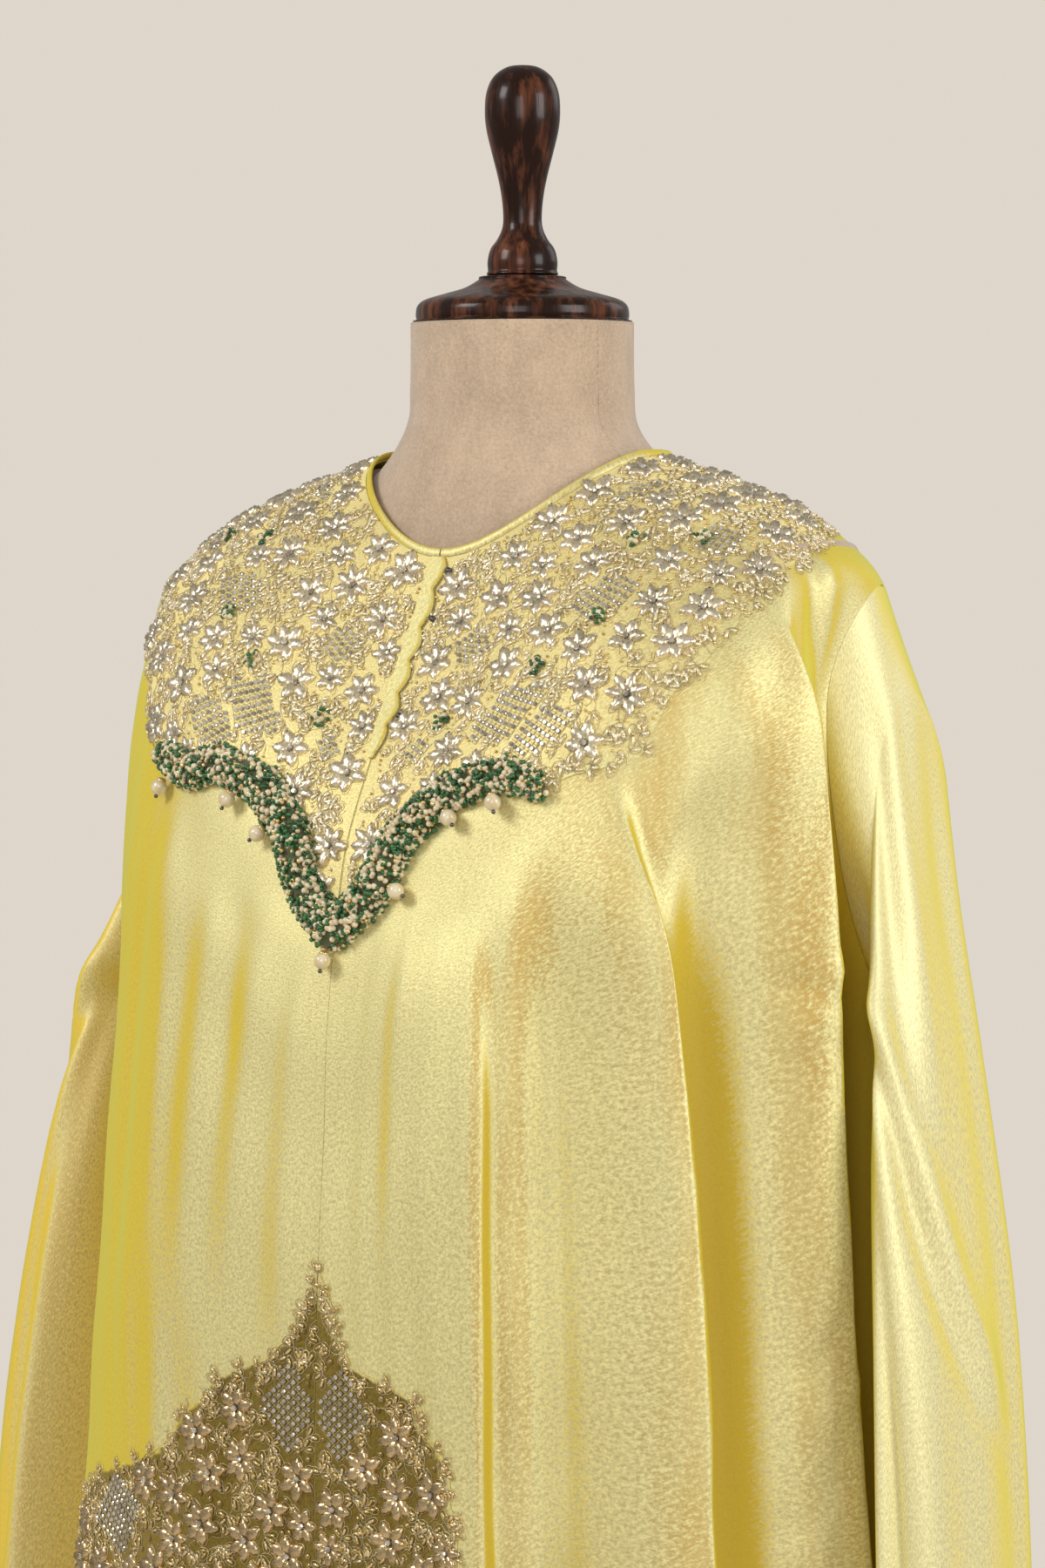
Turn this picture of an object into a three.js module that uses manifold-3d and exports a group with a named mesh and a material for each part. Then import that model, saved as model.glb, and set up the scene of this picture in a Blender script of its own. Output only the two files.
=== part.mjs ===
// A long, loose kaftan in metallic tissue, hung on a limbless dress form with a turned wooden
// cap, a pole and a round base. Millimetres, +Z up, the origin under the middle of the base.
// The front of the kaftan faces -Y and the wearer's left is +X.
import * as THREE from 'three';
import { mergeVertices } from 'three/addons/utils/BufferGeometryUtils.js';
import Module from 'manifold-3d';

const wasm = await Module();
wasm.setup();

// ---- Driving dimensions -------------------------------------------------------------------

const SHOULDER_HEIGHT = 1440; // where the shoulder meets the neck, above the floor
const CLOTH = 1.5; // thickness of a cloth wall
const GAP = 0.4; // between pieces that meet
const STITCHED = 1.2; // thickness of the embroidered ground over a panel

// The body of the kaftan is a stack of rings from the neckline to the hem. Each ring has its
// reach from the middle and its drop below the shoulder, at the side, the front and the back,
// and a roundness (2 is an ellipse, more is squarer).
const SECTIONS = [
  { name: 'neckline', side: 83, sideDrop: 1, front: 72, frontDrop: 52, back: 62, backDrop: 8, round: 2.1 },
  { name: 'collarbone', side: 118, sideDrop: 12, front: 92, frontDrop: 88, back: 84, backDrop: 36,
    round: 2.15 },
  { name: 'upper_yoke', side: 152, sideDrop: 24, front: 112, frontDrop: 122, back: 100, backDrop: 74,
    round: 2.2 },
  { name: 'lower_yoke', side: 180, sideDrop: 40, front: 132, frontDrop: 155, back: 110, backDrop: 112,
    round: 2.2 },
  { name: 'shoulder_tip', side: 202, sideDrop: 64, front: 150, frontDrop: 192, back: 118,
    backDrop: 150, round: 2.25 },
  { name: 'upper_arm', side: 210, sideDrop: 112, front: 158, frontDrop: 226, back: 121, backDrop: 185,
    round: 2.3 },
  { name: 'chest', side: 214, sideDrop: 180, front: 165, frontDrop: 262, back: 122, backDrop: 232,
    round: 2.35 },
  { name: 'underarm', side: 217, sideDrop: 290, front: 170, frontDrop: 322, back: 122, backDrop: 305,
    round: 2.4 },
  { name: 'waist', side: 220, sideDrop: 400, front: 176, frontDrop: 410, back: 120, backDrop: 402,
    round: 2.5 },
  { name: 'high_hip', side: 225, sideDrop: 500, front: 178, frontDrop: 500, back: 121, backDrop: 500,
    round: 2.6 },
  { name: 'hip', side: 231, sideDrop: 600, front: 180, frontDrop: 600, back: 126, backDrop: 600,
    round: 2.6 },
  { name: 'thigh', side: 246, sideDrop: 800, front: 192, frontDrop: 800, back: 138, backDrop: 800,
    round: 2.4 },
  { name: 'knee', side: 264, sideDrop: 1050, front: 207, frontDrop: 1050, back: 155, backDrop: 1050,
    round: 2.3 },
  { name: 'hem', side: 285, sideDrop: 1350, front: 224, frontDrop: 1350, back: 176, backDrop: 1350,
    round: 2.2 },
];
const HEM = SECTIONS.length - 1;
const HIGH_HIP = 9;

// Folds of the body: the angle of the crest (degrees, 0 at the wearer's left, -90 in front) at
// the top, at the high hip and at the hem, the section where it starts and where it is full,
// its depth at the high hip and at the hem (negative is a trough), its half-width in degrees
// and how far its crest leans sideways.
const FOLDS = [
  { name: 'soft_ridge', top: -63, mid: -62, low: -60, start: 6.2, full: 8, depth: 7, hemDepth: 14,
    width: 4.5, lean: 0 },
  { name: 'valley', top: -51, mid: -49, low: -47, start: 6, full: 7.5, depth: -14, hemDepth: -20,
    width: 4.5, lean: 0 },
  { name: 'edge_hump', top: -46, mid: -37, low: -34, start: 5.6, full: 7.5, depth: 15, hemDepth: 24,
    width: 5.5, lean: 9 },
  { name: 'under_edge', top: -32, mid: -27, low: -25, start: 5.6, full: 7.5, depth: -13, hemDepth: -18,
    width: 5, lean: 0 },
  { name: 'side_hump', top: -19, mid: -14, low: -14, start: 3.4, full: 6, depth: 8, hemDepth: 20,
    width: 6, lean: 8 },
  { name: 'side_recess', top: -4, mid: -2, low: -4, start: 4, full: 5.5, depth: -10, hemDepth: -12,
    width: 4, lean: 0 },
  { name: 'right_edge', top: -142, mid: -143, low: -146, start: 6, full: 9, depth: 6, hemDepth: 18,
    width: 8, lean: 0 },
  { name: 'right_valley', top: -160, mid: -160, low: -160, start: 5, full: 7.5, depth: -8,
    hemDepth: -18, width: 6, lean: 0 },
  { name: 'right_hump', top: -171, mid: -170, low: -170, start: 6, full: 8.5, depth: 6, hemDepth: 16,
    width: 5, lean: -4 },
  { name: 'front_right', top: -118, mid: -118, low: -120, start: 8, full: 11, depth: 4, hemDepth: 16,
    width: 8, lean: 0 },
  { name: 'front_dip', top: -104, mid: -104, low: -104, start: 9, full: 12, depth: -2, hemDepth: -10,
    width: 7, lean: 0 },
  { name: 'back_hump_1', top: 26, mid: 26, low: 26, start: 6, full: 9, depth: 9, hemDepth: 22,
    width: 6, lean: 0 },
  { name: 'back_dip_1', top: 38, mid: 38, low: 37, start: 5.5, full: 8, depth: -12, hemDepth: -20,
    width: 6, lean: 0 },
  { name: 'back_hump_2', top: 50, mid: 49, low: 48, start: 4.5, full: 8, depth: 13, hemDepth: 24,
    width: 6.5, lean: 0 },
  { name: 'back_dip_2', top: 64, mid: 63, low: 62, start: 4.5, full: 8, depth: -12, hemDepth: -20,
    width: 6, lean: 0 },
  { name: 'back_hump_3', top: 80, mid: 79, low: 78, start: 5, full: 8, depth: 10, hemDepth: 20,
    width: 7, lean: -4 },
  { name: 'back_dip_3', top: 95, mid: 94, low: 94, start: 5, full: 8, depth: -11, hemDepth: -18,
    width: 6.5, lean: 0 },
  { name: 'back_hump_4', top: 110, mid: 110, low: 111, start: 4.5, full: 8, depth: 13, hemDepth: 24,
    width: 6.5, lean: 5 },
  { name: 'back_dip_4', top: 125, mid: 125, low: 127, start: 4.5, full: 8, depth: -12, hemDepth: -20,
    width: 6, lean: 0 },
  { name: 'back_hump_5', top: 142, mid: 142, low: 143, start: 6, full: 9, depth: 10, hemDepth: 22,
    width: 6.5, lean: -5 },
  { name: 'back_dip_5', top: 156, mid: 156, low: 156, start: 4, full: 7, depth: -10, hemDepth: -18,
    width: 6, lean: 0 },
];

// The armhole is an oval in angle and section, round the side seam.
const SIDE_SEAM = 9;
const ARMHOLE_HALF_ANGLE = 14;
const ARMHOLE_SECTION = 5.5;
const ARMHOLE_HALF_SECTIONS = 1.5;

// A sleeve is a flattened tube that falls from the armhole. Each ring runs from an outer point
// to an inner one next to the body, and has a half-depth from front to back. The columns
// rightOut and rightShift move the wearer's right sleeve, which swings out and forwards.
const SLEEVE_RINGS = [
  { name: 'top', outer: 217, outerDrop: 118, inner: 226, innerDrop: 302, depth: 40, shift: 24,
    rightOut: 4, rightShift: 0 },
  { name: 'upper', outer: 232, outerDrop: 196, inner: 229, innerDrop: 322, depth: 47, shift: 13,
    rightOut: 8, rightShift: -4 },
  { name: 'above_elbow', outer: 247, outerDrop: 270, inner: 233, innerDrop: 352, depth: 56, shift: 5,
    rightOut: 12, rightShift: -8 },
  { name: 'elbow', outer: 266, outerDrop: 394, inner: 237, innerDrop: 420, depth: 64, shift: 1,
    rightOut: 16, rightShift: -14 },
  { name: 'forearm', outer: 275, outerDrop: 484, inner: 240, innerDrop: 495, depth: 67, shift: 0,
    rightOut: 20, rightShift: -20 },
  { name: 'wrist', outer: 280, outerDrop: 574, inner: 243, innerDrop: 576, depth: 68, shift: 0,
    rightOut: 24, rightShift: -26 },
  { name: 'cuff', outer: 284, outerDrop: 665, inner: 247, innerDrop: 665, depth: 68, shift: 0,
    rightOut: 28, rightShift: -30 },
];
const CUFF = SLEEVE_RINGS.length;
const SLEEVE_STEPS = [0, 0.35, 1, 2, 3, 4, 5, 6, 7];
const SLEEVE_COLUMNS = 24;
// Folds along a sleeve: where the crest is at the top and at the cuff, round the tube from the
// outer edge by way of the back, its depth and its half-width in degrees.
const SLEEVE_FOLDS = [
  { name: 'diagonal', top: 262, low: 330, depth: 6, width: 16 },
  { name: 'diagonal_trough', top: 232, low: 296, depth: -7, width: 15 },
  { name: 'back_trough', top: 100, low: 70, depth: -7, width: 16 },
  { name: 'back_crest', top: 140, low: 120, depth: 4, width: 16 },
];

// Sections at which the panels have a row of points. Those between 4 and 7 fall on the armhole.
const ARMHOLE_STEPS = [30, 60, 90, 120, 150].map((turn) => armholeSection(turn));
const PANEL_ROWS = [0, 0.5, 1, 1.5, 2, 2.5, 3, 3.5, 4, ...ARMHOLE_STEPS, 7, 7.5, 8, 8.5, 9.2, 10, 11,
  12, 13];
const FRONT_COLUMNS = 16;
const BACK_COLUMNS = 22;

// Lower edge of the embroidered yoke, from the point of the V at the centre front to the
// shoulder: distance from the centre front and drop below the shoulder.
const YOKE_EDGE = [
  { across: 0, drop: 236 },
  { across: 20, drop: 217 },
  { across: 34, drop: 188 },
  { across: 58, drop: 166 },
  { across: 88, drop: 156 },
  { across: 108, drop: 162 },
  { across: 124, drop: 155 },
  { across: 140, drop: 151 },
  { across: 153, drop: 146 },
  { across: 157, drop: 132 },
  { across: 162, drop: 116 },
  { across: 171, drop: 105 },
  { across: 178, drop: 91 },
  { across: 184, drop: 77 },
  { across: 190, drop: 62 },
  { across: 191, drop: 51 },
];
// Beyond the last of them the edge turns in along the shoulder to its seam.
const YOKE_SHOULDER = [
  { across: 184, drop: 43 },
  { across: 176, drop: 35 },
];
// The rope of beads lies on the lower edge as far as here on each side.
const TRIM_REACH = { left: 110, right: 134 };
const TRIM_HALF_WIDTH = 9;
const TRIM_HEIGHT = 9;
const TRIM_STEPS = 48;
const TRIM_SIDES = 8;

// Outline of half of the embroidered medallion below, a pointed ogee that closes to a point at
// its foot: distance from the centre front on each side, and drop below the shoulder.
const MEDALLION_EDGE = [
  { drop: 400, left: 0, right: 0 },
  { drop: 412, left: 7, right: 7 },
  { drop: 432, left: 14, right: 16 },
  { drop: 447, left: 22, right: 30 },
  { drop: 455, left: 50, right: 52 },
  { drop: 461, left: 65, right: 66 },
  { drop: 474, left: 66, right: 76 },
  { drop: 482, left: 79, right: 90 },
  { drop: 496, left: 84, right: 98 },
  { drop: 506, left: 84, right: 112 },
  { drop: 515, left: 88, right: 136 },
  { drop: 524, left: 89, right: 166 },
  { drop: 540, left: 89, right: 186 },
  { drop: 580, left: 90, right: 192 },
  { drop: 650, left: 90, right: 190 },
  { drop: 705, left: 66, right: 130 },
  { drop: 750, left: 24, right: 40 },
  { drop: 790, left: 0, right: 0 },
];

// Metal flowers of the medallion, on the wearer's left and right.
const MEDALLION_FLOWERS = {
  left: [
    { across: 12, drop: 441 },
    { across: 41, drop: 463 },
    { across: 64, drop: 480 },
    { across: 36, drop: 489 },
    { across: 12, drop: 502 },
    { across: 62, drop: 512 },
    { across: 32, drop: 524 },
    { across: 64, drop: 556 },
    { across: 20, drop: 568 },
    { across: 60, drop: 610 },
    { across: 22, drop: 626 },
    { across: 44, drop: 668 },
    { across: 16, drop: 708 },
  ],
  right: [
    { across: 12, drop: 441 },
    { across: 60, drop: 474 },
    { across: 13, drop: 500 },
    { across: 38, drop: 496 },
    { across: 86, drop: 500 },
    { across: 62, drop: 512 },
    { across: 22, drop: 524 },
    { across: 68, drop: 542 },
    { across: 130, drop: 551 },
    { across: 164, drop: 572 },
    { across: 100, drop: 580 },
    { across: 50, drop: 580 },
    { across: 152, drop: 632 },
    { across: 106, drop: 640 },
    { across: 56, drop: 640 },
    { across: 16, drop: 606 },
    { across: 92, drop: 690 },
    { across: 34, drop: 702 },
  ],
};

const FLOWER_RADIUS = 11.5;
const FLOWER_HEIGHT = 3.2;
const FLOWER_PETALS = 6;
const PEARL_RADIUS = 4.2;
// How far along the trim each pearl drop hangs, -1 at the wearer's right tip to 1 at the left.
const PEARL_PLACES = [-0.9, -0.52, -0.31, 0, 0.22, 0.49, 0.75];
const HOOK_RADIUS = 1.7;
const HOOK_PLACES = [0.3, 0.9, 2.3]; // sections at which a hook bead shows in the placket

const PLACKET_END = 2.9; // section where the placket ends
const PLACKET_BACK = -9; // its sewn edge, across from the centre front
const PLACKET_LAP = 3; // how far it laps past the centre front
const SCALLOP_DEPTH = 3.5;
const SCALLOPS = 6;
const BINDING_HEIGHT = 4;

// Dress form below the shoulders: reach at side, front and back, and drop.
const FORM_SECTIONS = [
  { name: 'armhole_plate', side: 184, sideDrop: 112, front: 140, frontDrop: 218, back: 108, backDrop: 172 },
  { name: 'bust', side: 170, sideDrop: 250, front: 148, frontDrop: 270, back: 110, backDrop: 260 },
  { name: 'waist', side: 138, sideDrop: 420, front: 116, frontDrop: 420, back: 94, backDrop: 420 },
  { name: 'hip', side: 176, sideDrop: 600, front: 130, frontDrop: 600, back: 108, backDrop: 600 },
  { name: 'foot', side: 172, sideDrop: 655, front: 126, frontDrop: 655, back: 104, backDrop: 655 },
];
const FORM_INSET = 2.6; // skin of the form below the middle of the cloth
const NECK_RINGS = [
  { name: 'neck_top', rise: 68, side: 58.5, front: 56, back: 55 },
  { name: 'neck', rise: 34, side: 59, front: 56, back: 55 },
  { name: 'neck_root', rise: 14, side: 62, front: 57, back: 56 },
];
const CAP_PROFILE = [
  [0, 68.4],
  [52, 68.4],
  [55, 71],
  [55, 75],
  [52, 79],
  [40, 83],
  [28, 87],
  [21, 92],
  [0, 92],
];
const FINIAL_PROFILE = [
  [0, 92.4],
  [17, 92.4],
  [18, 98],
  [16.5, 106],
  [12, 112],
  [10, 123],
  [11, 134],
  [15, 152],
  [18.6, 166],
  [19.4, 176],
  [18, 187],
  [13, 195],
  [6, 199],
  [0, 200],
];
const POLE_RADIUS = 16;
const BASE_RADIUS = 175;
const BASE_HEIGHT = 25;

const COLOURS = {
  tissue: 0xd9cf72,
  embroidery: 0xcdb98a,
  binding: 0xd9c544,
  beads: 0x8f9f78,
  pearl: 0xf0e6d4,
  steel: 0x55565a,
  linen: 0xcdb9a5,
  walnut: 0x2c1712,
};

// ---- Helpers ------------------------------------------------------------------------------

function material(colour, roughness, metalness = 0) {
  return new THREE.MeshStandardMaterial({ color: colour, roughness, metalness });
}

function radians(degrees) {
  return (degrees * Math.PI) / 180;
}

function mix(a, b, share) {
  return a + (b - a) * share;
}

function smooth(from, to, value) {
  const share = Math.min(Math.max((value - from) / (to - from), 0), 1);
  return share * share * (3 - 2 * share);
}

// A column of a table between its rows, on a smooth curve.
function column(table, name, place) {
  const last = table.length - 1;
  const kept = Math.min(Math.max(place, 0), last - 1e-9);
  const row = Math.floor(kept);
  const f = kept - row;
  const [before, from, to, after] = [-1, 0, 1, 2].map(
    (step) => table[Math.min(Math.max(row + step, 0), last)][name],
  );
  const rise = (to - before) / 2;
  const run = (after - from) / 2;
  const f2 = f * f;
  const f3 = f2 * f;
  return (
    (2 * f3 - 3 * f2 + 1) * from + (f3 - 2 * f2 + f) * rise + (3 * f2 - 2 * f3) * to + (f3 - f2) * run
  );
}

function gaussian(gap, width) {
  return Math.exp(-0.5 * (gap / width) ** 2);
}

function turnBetween(angle, other) {
  return ((((angle - other + 180) % 360) + 360) % 360) - 180;
}

// Moves the points of a closed three.js geometry, merged so that it is one solid, and turns
// its faces outwards where the move has turned it inside out.
function shaped(geometry, place) {
  geometry.deleteAttribute('normal');
  geometry.deleteAttribute('uv');
  const solid = mergeVertices(geometry, 1e-4);
  const position = solid.attributes.position;
  const at = new THREE.Vector3();
  for (let i = 0; i < position.count; i += 1) {
    at.fromBufferAttribute(position, i);
    place(at);
    position.setXYZ(i, at.x, at.y, at.z);
  }
  if (volume(solid) < 0) {
    const index = solid.index;
    for (let i = 0; i < index.count; i += 3) {
      const first = index.getX(i);
      index.setX(i, index.getX(i + 1));
      index.setX(i + 1, first);
    }
  }
  return solid;
}

function volume(geometry) {
  const corner = [0, 1, 2].map(() => new THREE.Vector3());
  let total = 0;
  for (let i = 0; i < geometry.index.count; i += 3) {
    corner.forEach((point, k) => point.fromBufferAttribute(geometry.attributes.position,
      geometry.index.getX(i + k)));
    total += corner[0].dot(corner[1].clone().cross(corner[2])) / 6;
  }
  return total;
}

// A wall of cloth: a thin box whose points go to (across, along) on the wall, with outside
// true on its outer face. Both faces split each square of the grid along the same diagonal.
function wall(columns, rows, place) {
  const box = new THREE.BoxGeometry(1, 1, 1, columns, rows, 1);
  const inner = box.groups[5];
  for (let i = inner.start; i < inner.start + inner.count; i += 6) {
    const [a, b, d, , c] = [0, 1, 2, 3, 4].map((k) => box.index.getX(i + k));
    [a, b, c, a, c, d].forEach((corner, k) => box.index.setX(i + k, corner));
  }
  return shaped(box, (at) => {
    at.copy(place((at.x + 0.5) * columns, (0.5 - at.y) * rows, at.z > 0));
  });
}

// A wall that closes on itself, open at both ends: a thin ring drawn out into a tube.
function tube(columns, rows, place) {
  const ring = [];
  for (let row = 0; row <= rows; row += 1) {
    ring.push(new THREE.Vector2(2, row));
  }
  for (let row = rows; row >= 0; row -= 1) {
    ring.push(new THREE.Vector2(1, row));
  }
  ring.push(new THREE.Vector2(2, 0));
  return shaped(new THREE.LatheGeometry(ring, columns), (at) => {
    const turn = (Math.atan2(at.z, at.x) * 180) / Math.PI;
    at.copy(place(turn, Math.round(at.y), Math.hypot(at.x, at.z) > 1.5));
  });
}

function toManifold(geometry) {
  return new wasm.Manifold(
    new wasm.Mesh({
      numProp: 3,
      vertProperties: new Float32Array(geometry.attributes.position.array),
      triVerts: new Uint32Array(geometry.index.array),
    }),
  );
}

function fromManifold(solid) {
  const mesh = solid.getMesh();
  const geometry = new THREE.BufferGeometry();
  geometry.setAttribute('position', new THREE.BufferAttribute(mesh.vertProperties, 3));
  geometry.setIndex(new THREE.BufferAttribute(mesh.triVerts, 1));
  return geometry;
}

const kaftan = new THREE.Group();

function add(name, geometry, look) {
  const mesh = new THREE.Mesh(geometry, look);
  mesh.name = name;
  kaftan.add(mesh);
}

// ---- The surface of the body --------------------------------------------------------------

function foldsAt(angle, section) {
  let out = 0;
  let sideways = 0;
  for (const fold of FOLDS) {
    if (section > fold.start) {
      const below = Math.max(section - HIGH_HIP, 0) / (HEM - HIGH_HIP);
      const upper = mix(fold.top, fold.mid, smooth(fold.start, HIGH_HIP, section));
      const crest = upper + (fold.low - fold.mid) * below;
      const depth = fold.depth * smooth(fold.start, fold.full,
        section) + (fold.hemDepth - fold.depth) * below;
      const share = gaussian(turnBetween(angle, crest), fold.width);
      out += depth * share;
      sideways += fold.lean * (depth / fold.depth) * share;
    }
  }
  return { out, sideways };
}

function bodyPoint(angle, section, folded = true) {
  const c = Math.cos(radians(angle));
  const s = Math.sin(radians(angle));
  const facing = s < 0 ? 'front' : 'back';
  const side = column(SECTIONS, 'side', section);
  const deep = column(SECTIONS, facing, section);
  const round = column(SECTIONS, 'round', section);
  const sideDrop = column(SECTIONS, 'sideDrop', section);
  const deepDrop = column(SECTIONS, `${facing}Drop`, section);
  const reach = ((Math.abs(c) / side) ** round + (Math.abs(s) / deep) ** round) ** (-1 / round);
  const fold = folded ? foldsAt(angle, section) : { out: 0, sideways: 0 };
  return new THREE.Vector3(
    (reach + fold.out) * c - fold.sideways * s,
    (reach + fold.out) * s + fold.sideways * c,
    SHOULDER_HEIGHT - mix(sideDrop, deepDrop, s * s),
  );
}

function bodyNormal(angle, section, folded = true) {
  const turn = 0.3;
  const step = 0.03;
  const round = bodyPoint(angle + turn, section, folded).sub(bodyPoint(angle - turn, section, folded));
  const up = bodyPoint(angle, Math.max(section - step, 0), folded);
  up.sub(bodyPoint(angle, Math.min(section + step, HEM), folded));
  return round.cross(up).normalize();
}

function raised(angle, section, out, folded = true) {
  return bodyPoint(angle, section, folded).addScaledVector(bodyNormal(angle, section, folded), out);
}

function armholeSection(turn) {
  return ARMHOLE_SECTION - ARMHOLE_HALF_SECTIONS * Math.cos(radians(turn));
}

// Half the angle that the armhole takes out of the cloth at a section.
function armholeHalfAngle(section) {
  const share = (section - ARMHOLE_SECTION) / ARMHOLE_HALF_SECTIONS;
  return Math.abs(share) < 1 ? ARMHOLE_HALF_ANGLE * Math.sqrt(1 - share * share) : 0;
}

// Angle of a panel's point: the columns share out the way between its two edges, each held
// half a gap back from the seam.
function panelAngle(panel, share, section) {
  const opening = armholeHalfAngle(section);
  const from = panel.from + opening * panel.fromOpens;
  const to = panel.to - opening * panel.toOpens;
  const reach = bodyPoint(mix(from, to, share), section).setZ(0).length();
  const held = ((GAP / 2 / reach) * 180) / Math.PI;
  return mix(from + held, to - held, share);
}

const PANELS = {
  front_left: { from: -90, to: SIDE_SEAM, fromOpens: 0, toOpens: 1, columns: FRONT_COLUMNS },
  front_right: { from: -180 - SIDE_SEAM, to: -90, fromOpens: 1, toOpens: 0, columns: FRONT_COLUMNS },
  back: { from: SIDE_SEAM, to: 180 - SIDE_SEAM, fromOpens: 1, toOpens: 1, columns: BACK_COLUMNS },
};

// The point of a panel at a whole column and row, moved out of the cloth's outer face.
function panelCorner(panel, across, row, out) {
  const section = PANEL_ROWS[row];
  return raised(panelAngle(panel, across / panel.columns, section), section, out);
}

// The same between the columns and rows, on the flat facets of the panel.
function panelPoint(panel, across, row, out) {
  const left = Math.min(Math.floor(across), panel.columns - 1);
  const above = Math.min(Math.floor(row), PANEL_ROWS.length - 2);
  const right = across - left;
  const down = row - above;
  const upper = right + down <= 1;
  const from = panelCorner(panel, left + (upper ? 0 : 1), above + (upper ? 0 : 1), out);
  const beside = panelCorner(panel, left + (upper ? 1 : 0), above + (upper ? 0 : 1), out).sub(from);
  const below = panelCorner(panel, left + (upper ? 0 : 1), above + (upper ? 1 : 0), out).sub(from);
  from.addScaledVector(beside, upper ? right : 1 - right);
  return from.addScaledVector(below, upper ? down : 1 - down);
}

function panelSheet(panel, rows, inner, outer) {
  return wall(panel.columns, rows, (across, row, outside) =>
    panelCorner(panel, Math.round(across), Math.round(row), outside ? outer : inner),
  );
}

// Where the panel's facets pass through a place given from the front.
function panelAcross(panel, across, drop) {
  let best = { far: Infinity, column: 0, row: 0 };
  let reach = 3;
  let centre = { column: panel.columns / 2, row: 9 };
  let span = { column: panel.columns / 2, row: 9 };
  for (let pass = 0; pass < 9; pass += 1) {
    for (let i = -reach; i <= reach; i += 1) {
      for (let j = -reach; j <= reach; j += 1) {
        const column = THREE.MathUtils.clamp(centre.column + (span.column * i) / reach, 0, panel.columns);
        const row = THREE.MathUtils.clamp(centre.row + (span.row * j) / reach, 0, PANEL_ROWS.length - 1);
        const point = panelPoint(panel, column, row, 0);
        const far = Math.hypot(point.x - across, SHOULDER_HEIGHT - point.z - drop);
        if (far < best.far) {
          best = { far, column, row };
        }
      }
    }
    centre = best;
    span = { column: span.column * 0.45, row: span.row * 0.45 };
    reach = 2;
  }
  return best;
}

// ---- Panels and sleeves -------------------------------------------------------------------

function panels() {
  for (const [name, panel] of Object.entries(PANELS)) {
    add(name, panelSheet(panel, PANEL_ROWS.length - 1, -CLOTH, 0), material(COLOURS.tissue, 0.35, 0.45));
  }
}

// The armhole's edge, straight between the panel rows that meet it.
function armholeEdge(turn, out, hand) {
  const step = 30;
  const corner = (at) => {
    const angle = SIDE_SEAM + ARMHOLE_HALF_ANGLE * Math.sin(radians(at));
    return raised(hand > 0 ? angle : 180 - angle, armholeSection(at), out);
  };
  const before = Math.floor(turn / step) * step;
  return corner(before).lerp(corner(before + step), (turn - before) / step);
}

function sleeveRing(turn, ring, hand) {
  const c = Math.cos(radians(turn));
  const s = Math.sin(radians(turn));
  const row = SLEEVE_RINGS[ring - 1];
  const out = hand > 0 ? 0 : row.rightOut;
  const shift = row.shift + (hand > 0 ? 0 : row.rightShift);
  let crease = 0;
  for (const fold of SLEEVE_FOLDS) {
    const crest = mix(fold.top, fold.low, ring / CUFF);
    crease += fold.depth * Math.min(ring / 3, 1) * gaussian(turnBetween(turn, crest), fold.width);
  }
  const across = (row.outer + out - row.inner) / 2;
  const middle = (row.outer + out + row.inner) / 2;
  return new THREE.Vector3(
    hand * (middle + (across + crease) * c),
    shift + (row.depth + crease) * s,
    SHOULDER_HEIGHT - mix(row.outerDrop, row.innerDrop, (1 - c) / 2),
  );
}

function sleevePoint(turn, place, hand) {
  const ring = Math.min(Math.floor(place), CUFF - 1);
  const above = ring === 0 ? armholeEdge(turn, 0, hand) : sleeveRing(turn, ring, hand);
  return above.lerp(sleeveRing(turn, ring + 1, hand), place - ring);
}

function sleeveNormal(turn, place, hand) {
  const round = sleevePoint(turn + 4, place, hand).sub(sleevePoint(turn - 4, place, hand));
  const up = sleevePoint(turn, Math.max(place - 0.2, 0), hand);
  up.sub(sleevePoint(turn, Math.min(place + 0.2, CUFF), hand));
  return round.cross(up).multiplyScalar(-hand).normalize();
}

// The top ring abuts the panels' edge, so its wall has their thickness and direction.
function sleeve(name, hand) {
  const clear = 2;
  const shell = tube(SLEEVE_COLUMNS, SLEEVE_STEPS.length - 1, (angle, row, outside) => {
    const turn = (Math.round(angle) + 360) % 360;
    const out = outside ? 0 : -CLOTH;
    if (row === 0) {
      const edge = armholeEdge(turn, out, hand);
      edge.x += hand * clear;
      return edge;
    }
    const place = SLEEVE_STEPS[row];
    const point = sleevePoint(turn, place, hand).addScaledVector(sleeveNormal(turn, place, hand), out);
    point.x += hand * clear;
    return point;
  });
  add(name, shell, material(COLOURS.tissue, 0.35, 0.45));
}

// ---- Embroidered pieces -------------------------------------------------------------------

// A six-petalled metal flower: a low star with its foot sunk in the stitched ground.
function flower(panel, centre, turn) {
  const size = FLOWER_RADIUS;
  const here = panelPoint(panel, centre.column, centre.row, 0);
  const aside = panelPoint(panel, centre.column + 0.2, centre.row, 0).distanceTo(here) / 0.2;
  const down = panelPoint(panel, centre.column, centre.row + 0.2, 0).distanceTo(here) / 0.2;
  const sides = FLOWER_PETALS * 2;
  return shaped(new THREE.ConeGeometry(1, 1, sides), (at) => {
    const reach = Math.hypot(at.x, at.z);
    const angle = Math.atan2(at.z, at.x);
    const petal = Math.round((angle / (2 * Math.PI)) * sides) % 2 === 0 ? 1 : 0.42;
    const column = centre.column + (Math.cos(angle + turn) * reach * petal * size) / aside;
    const row = centre.row + (Math.sin(angle + turn) * reach * petal * size) / down;
    const foot = GAP + STITCHED * 0.5;
    const top = GAP + STITCHED + FLOWER_HEIGHT;
    at.copy(panelPoint(panel, column, row, at.y > 0 ? top : foot));
  });
}

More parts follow.
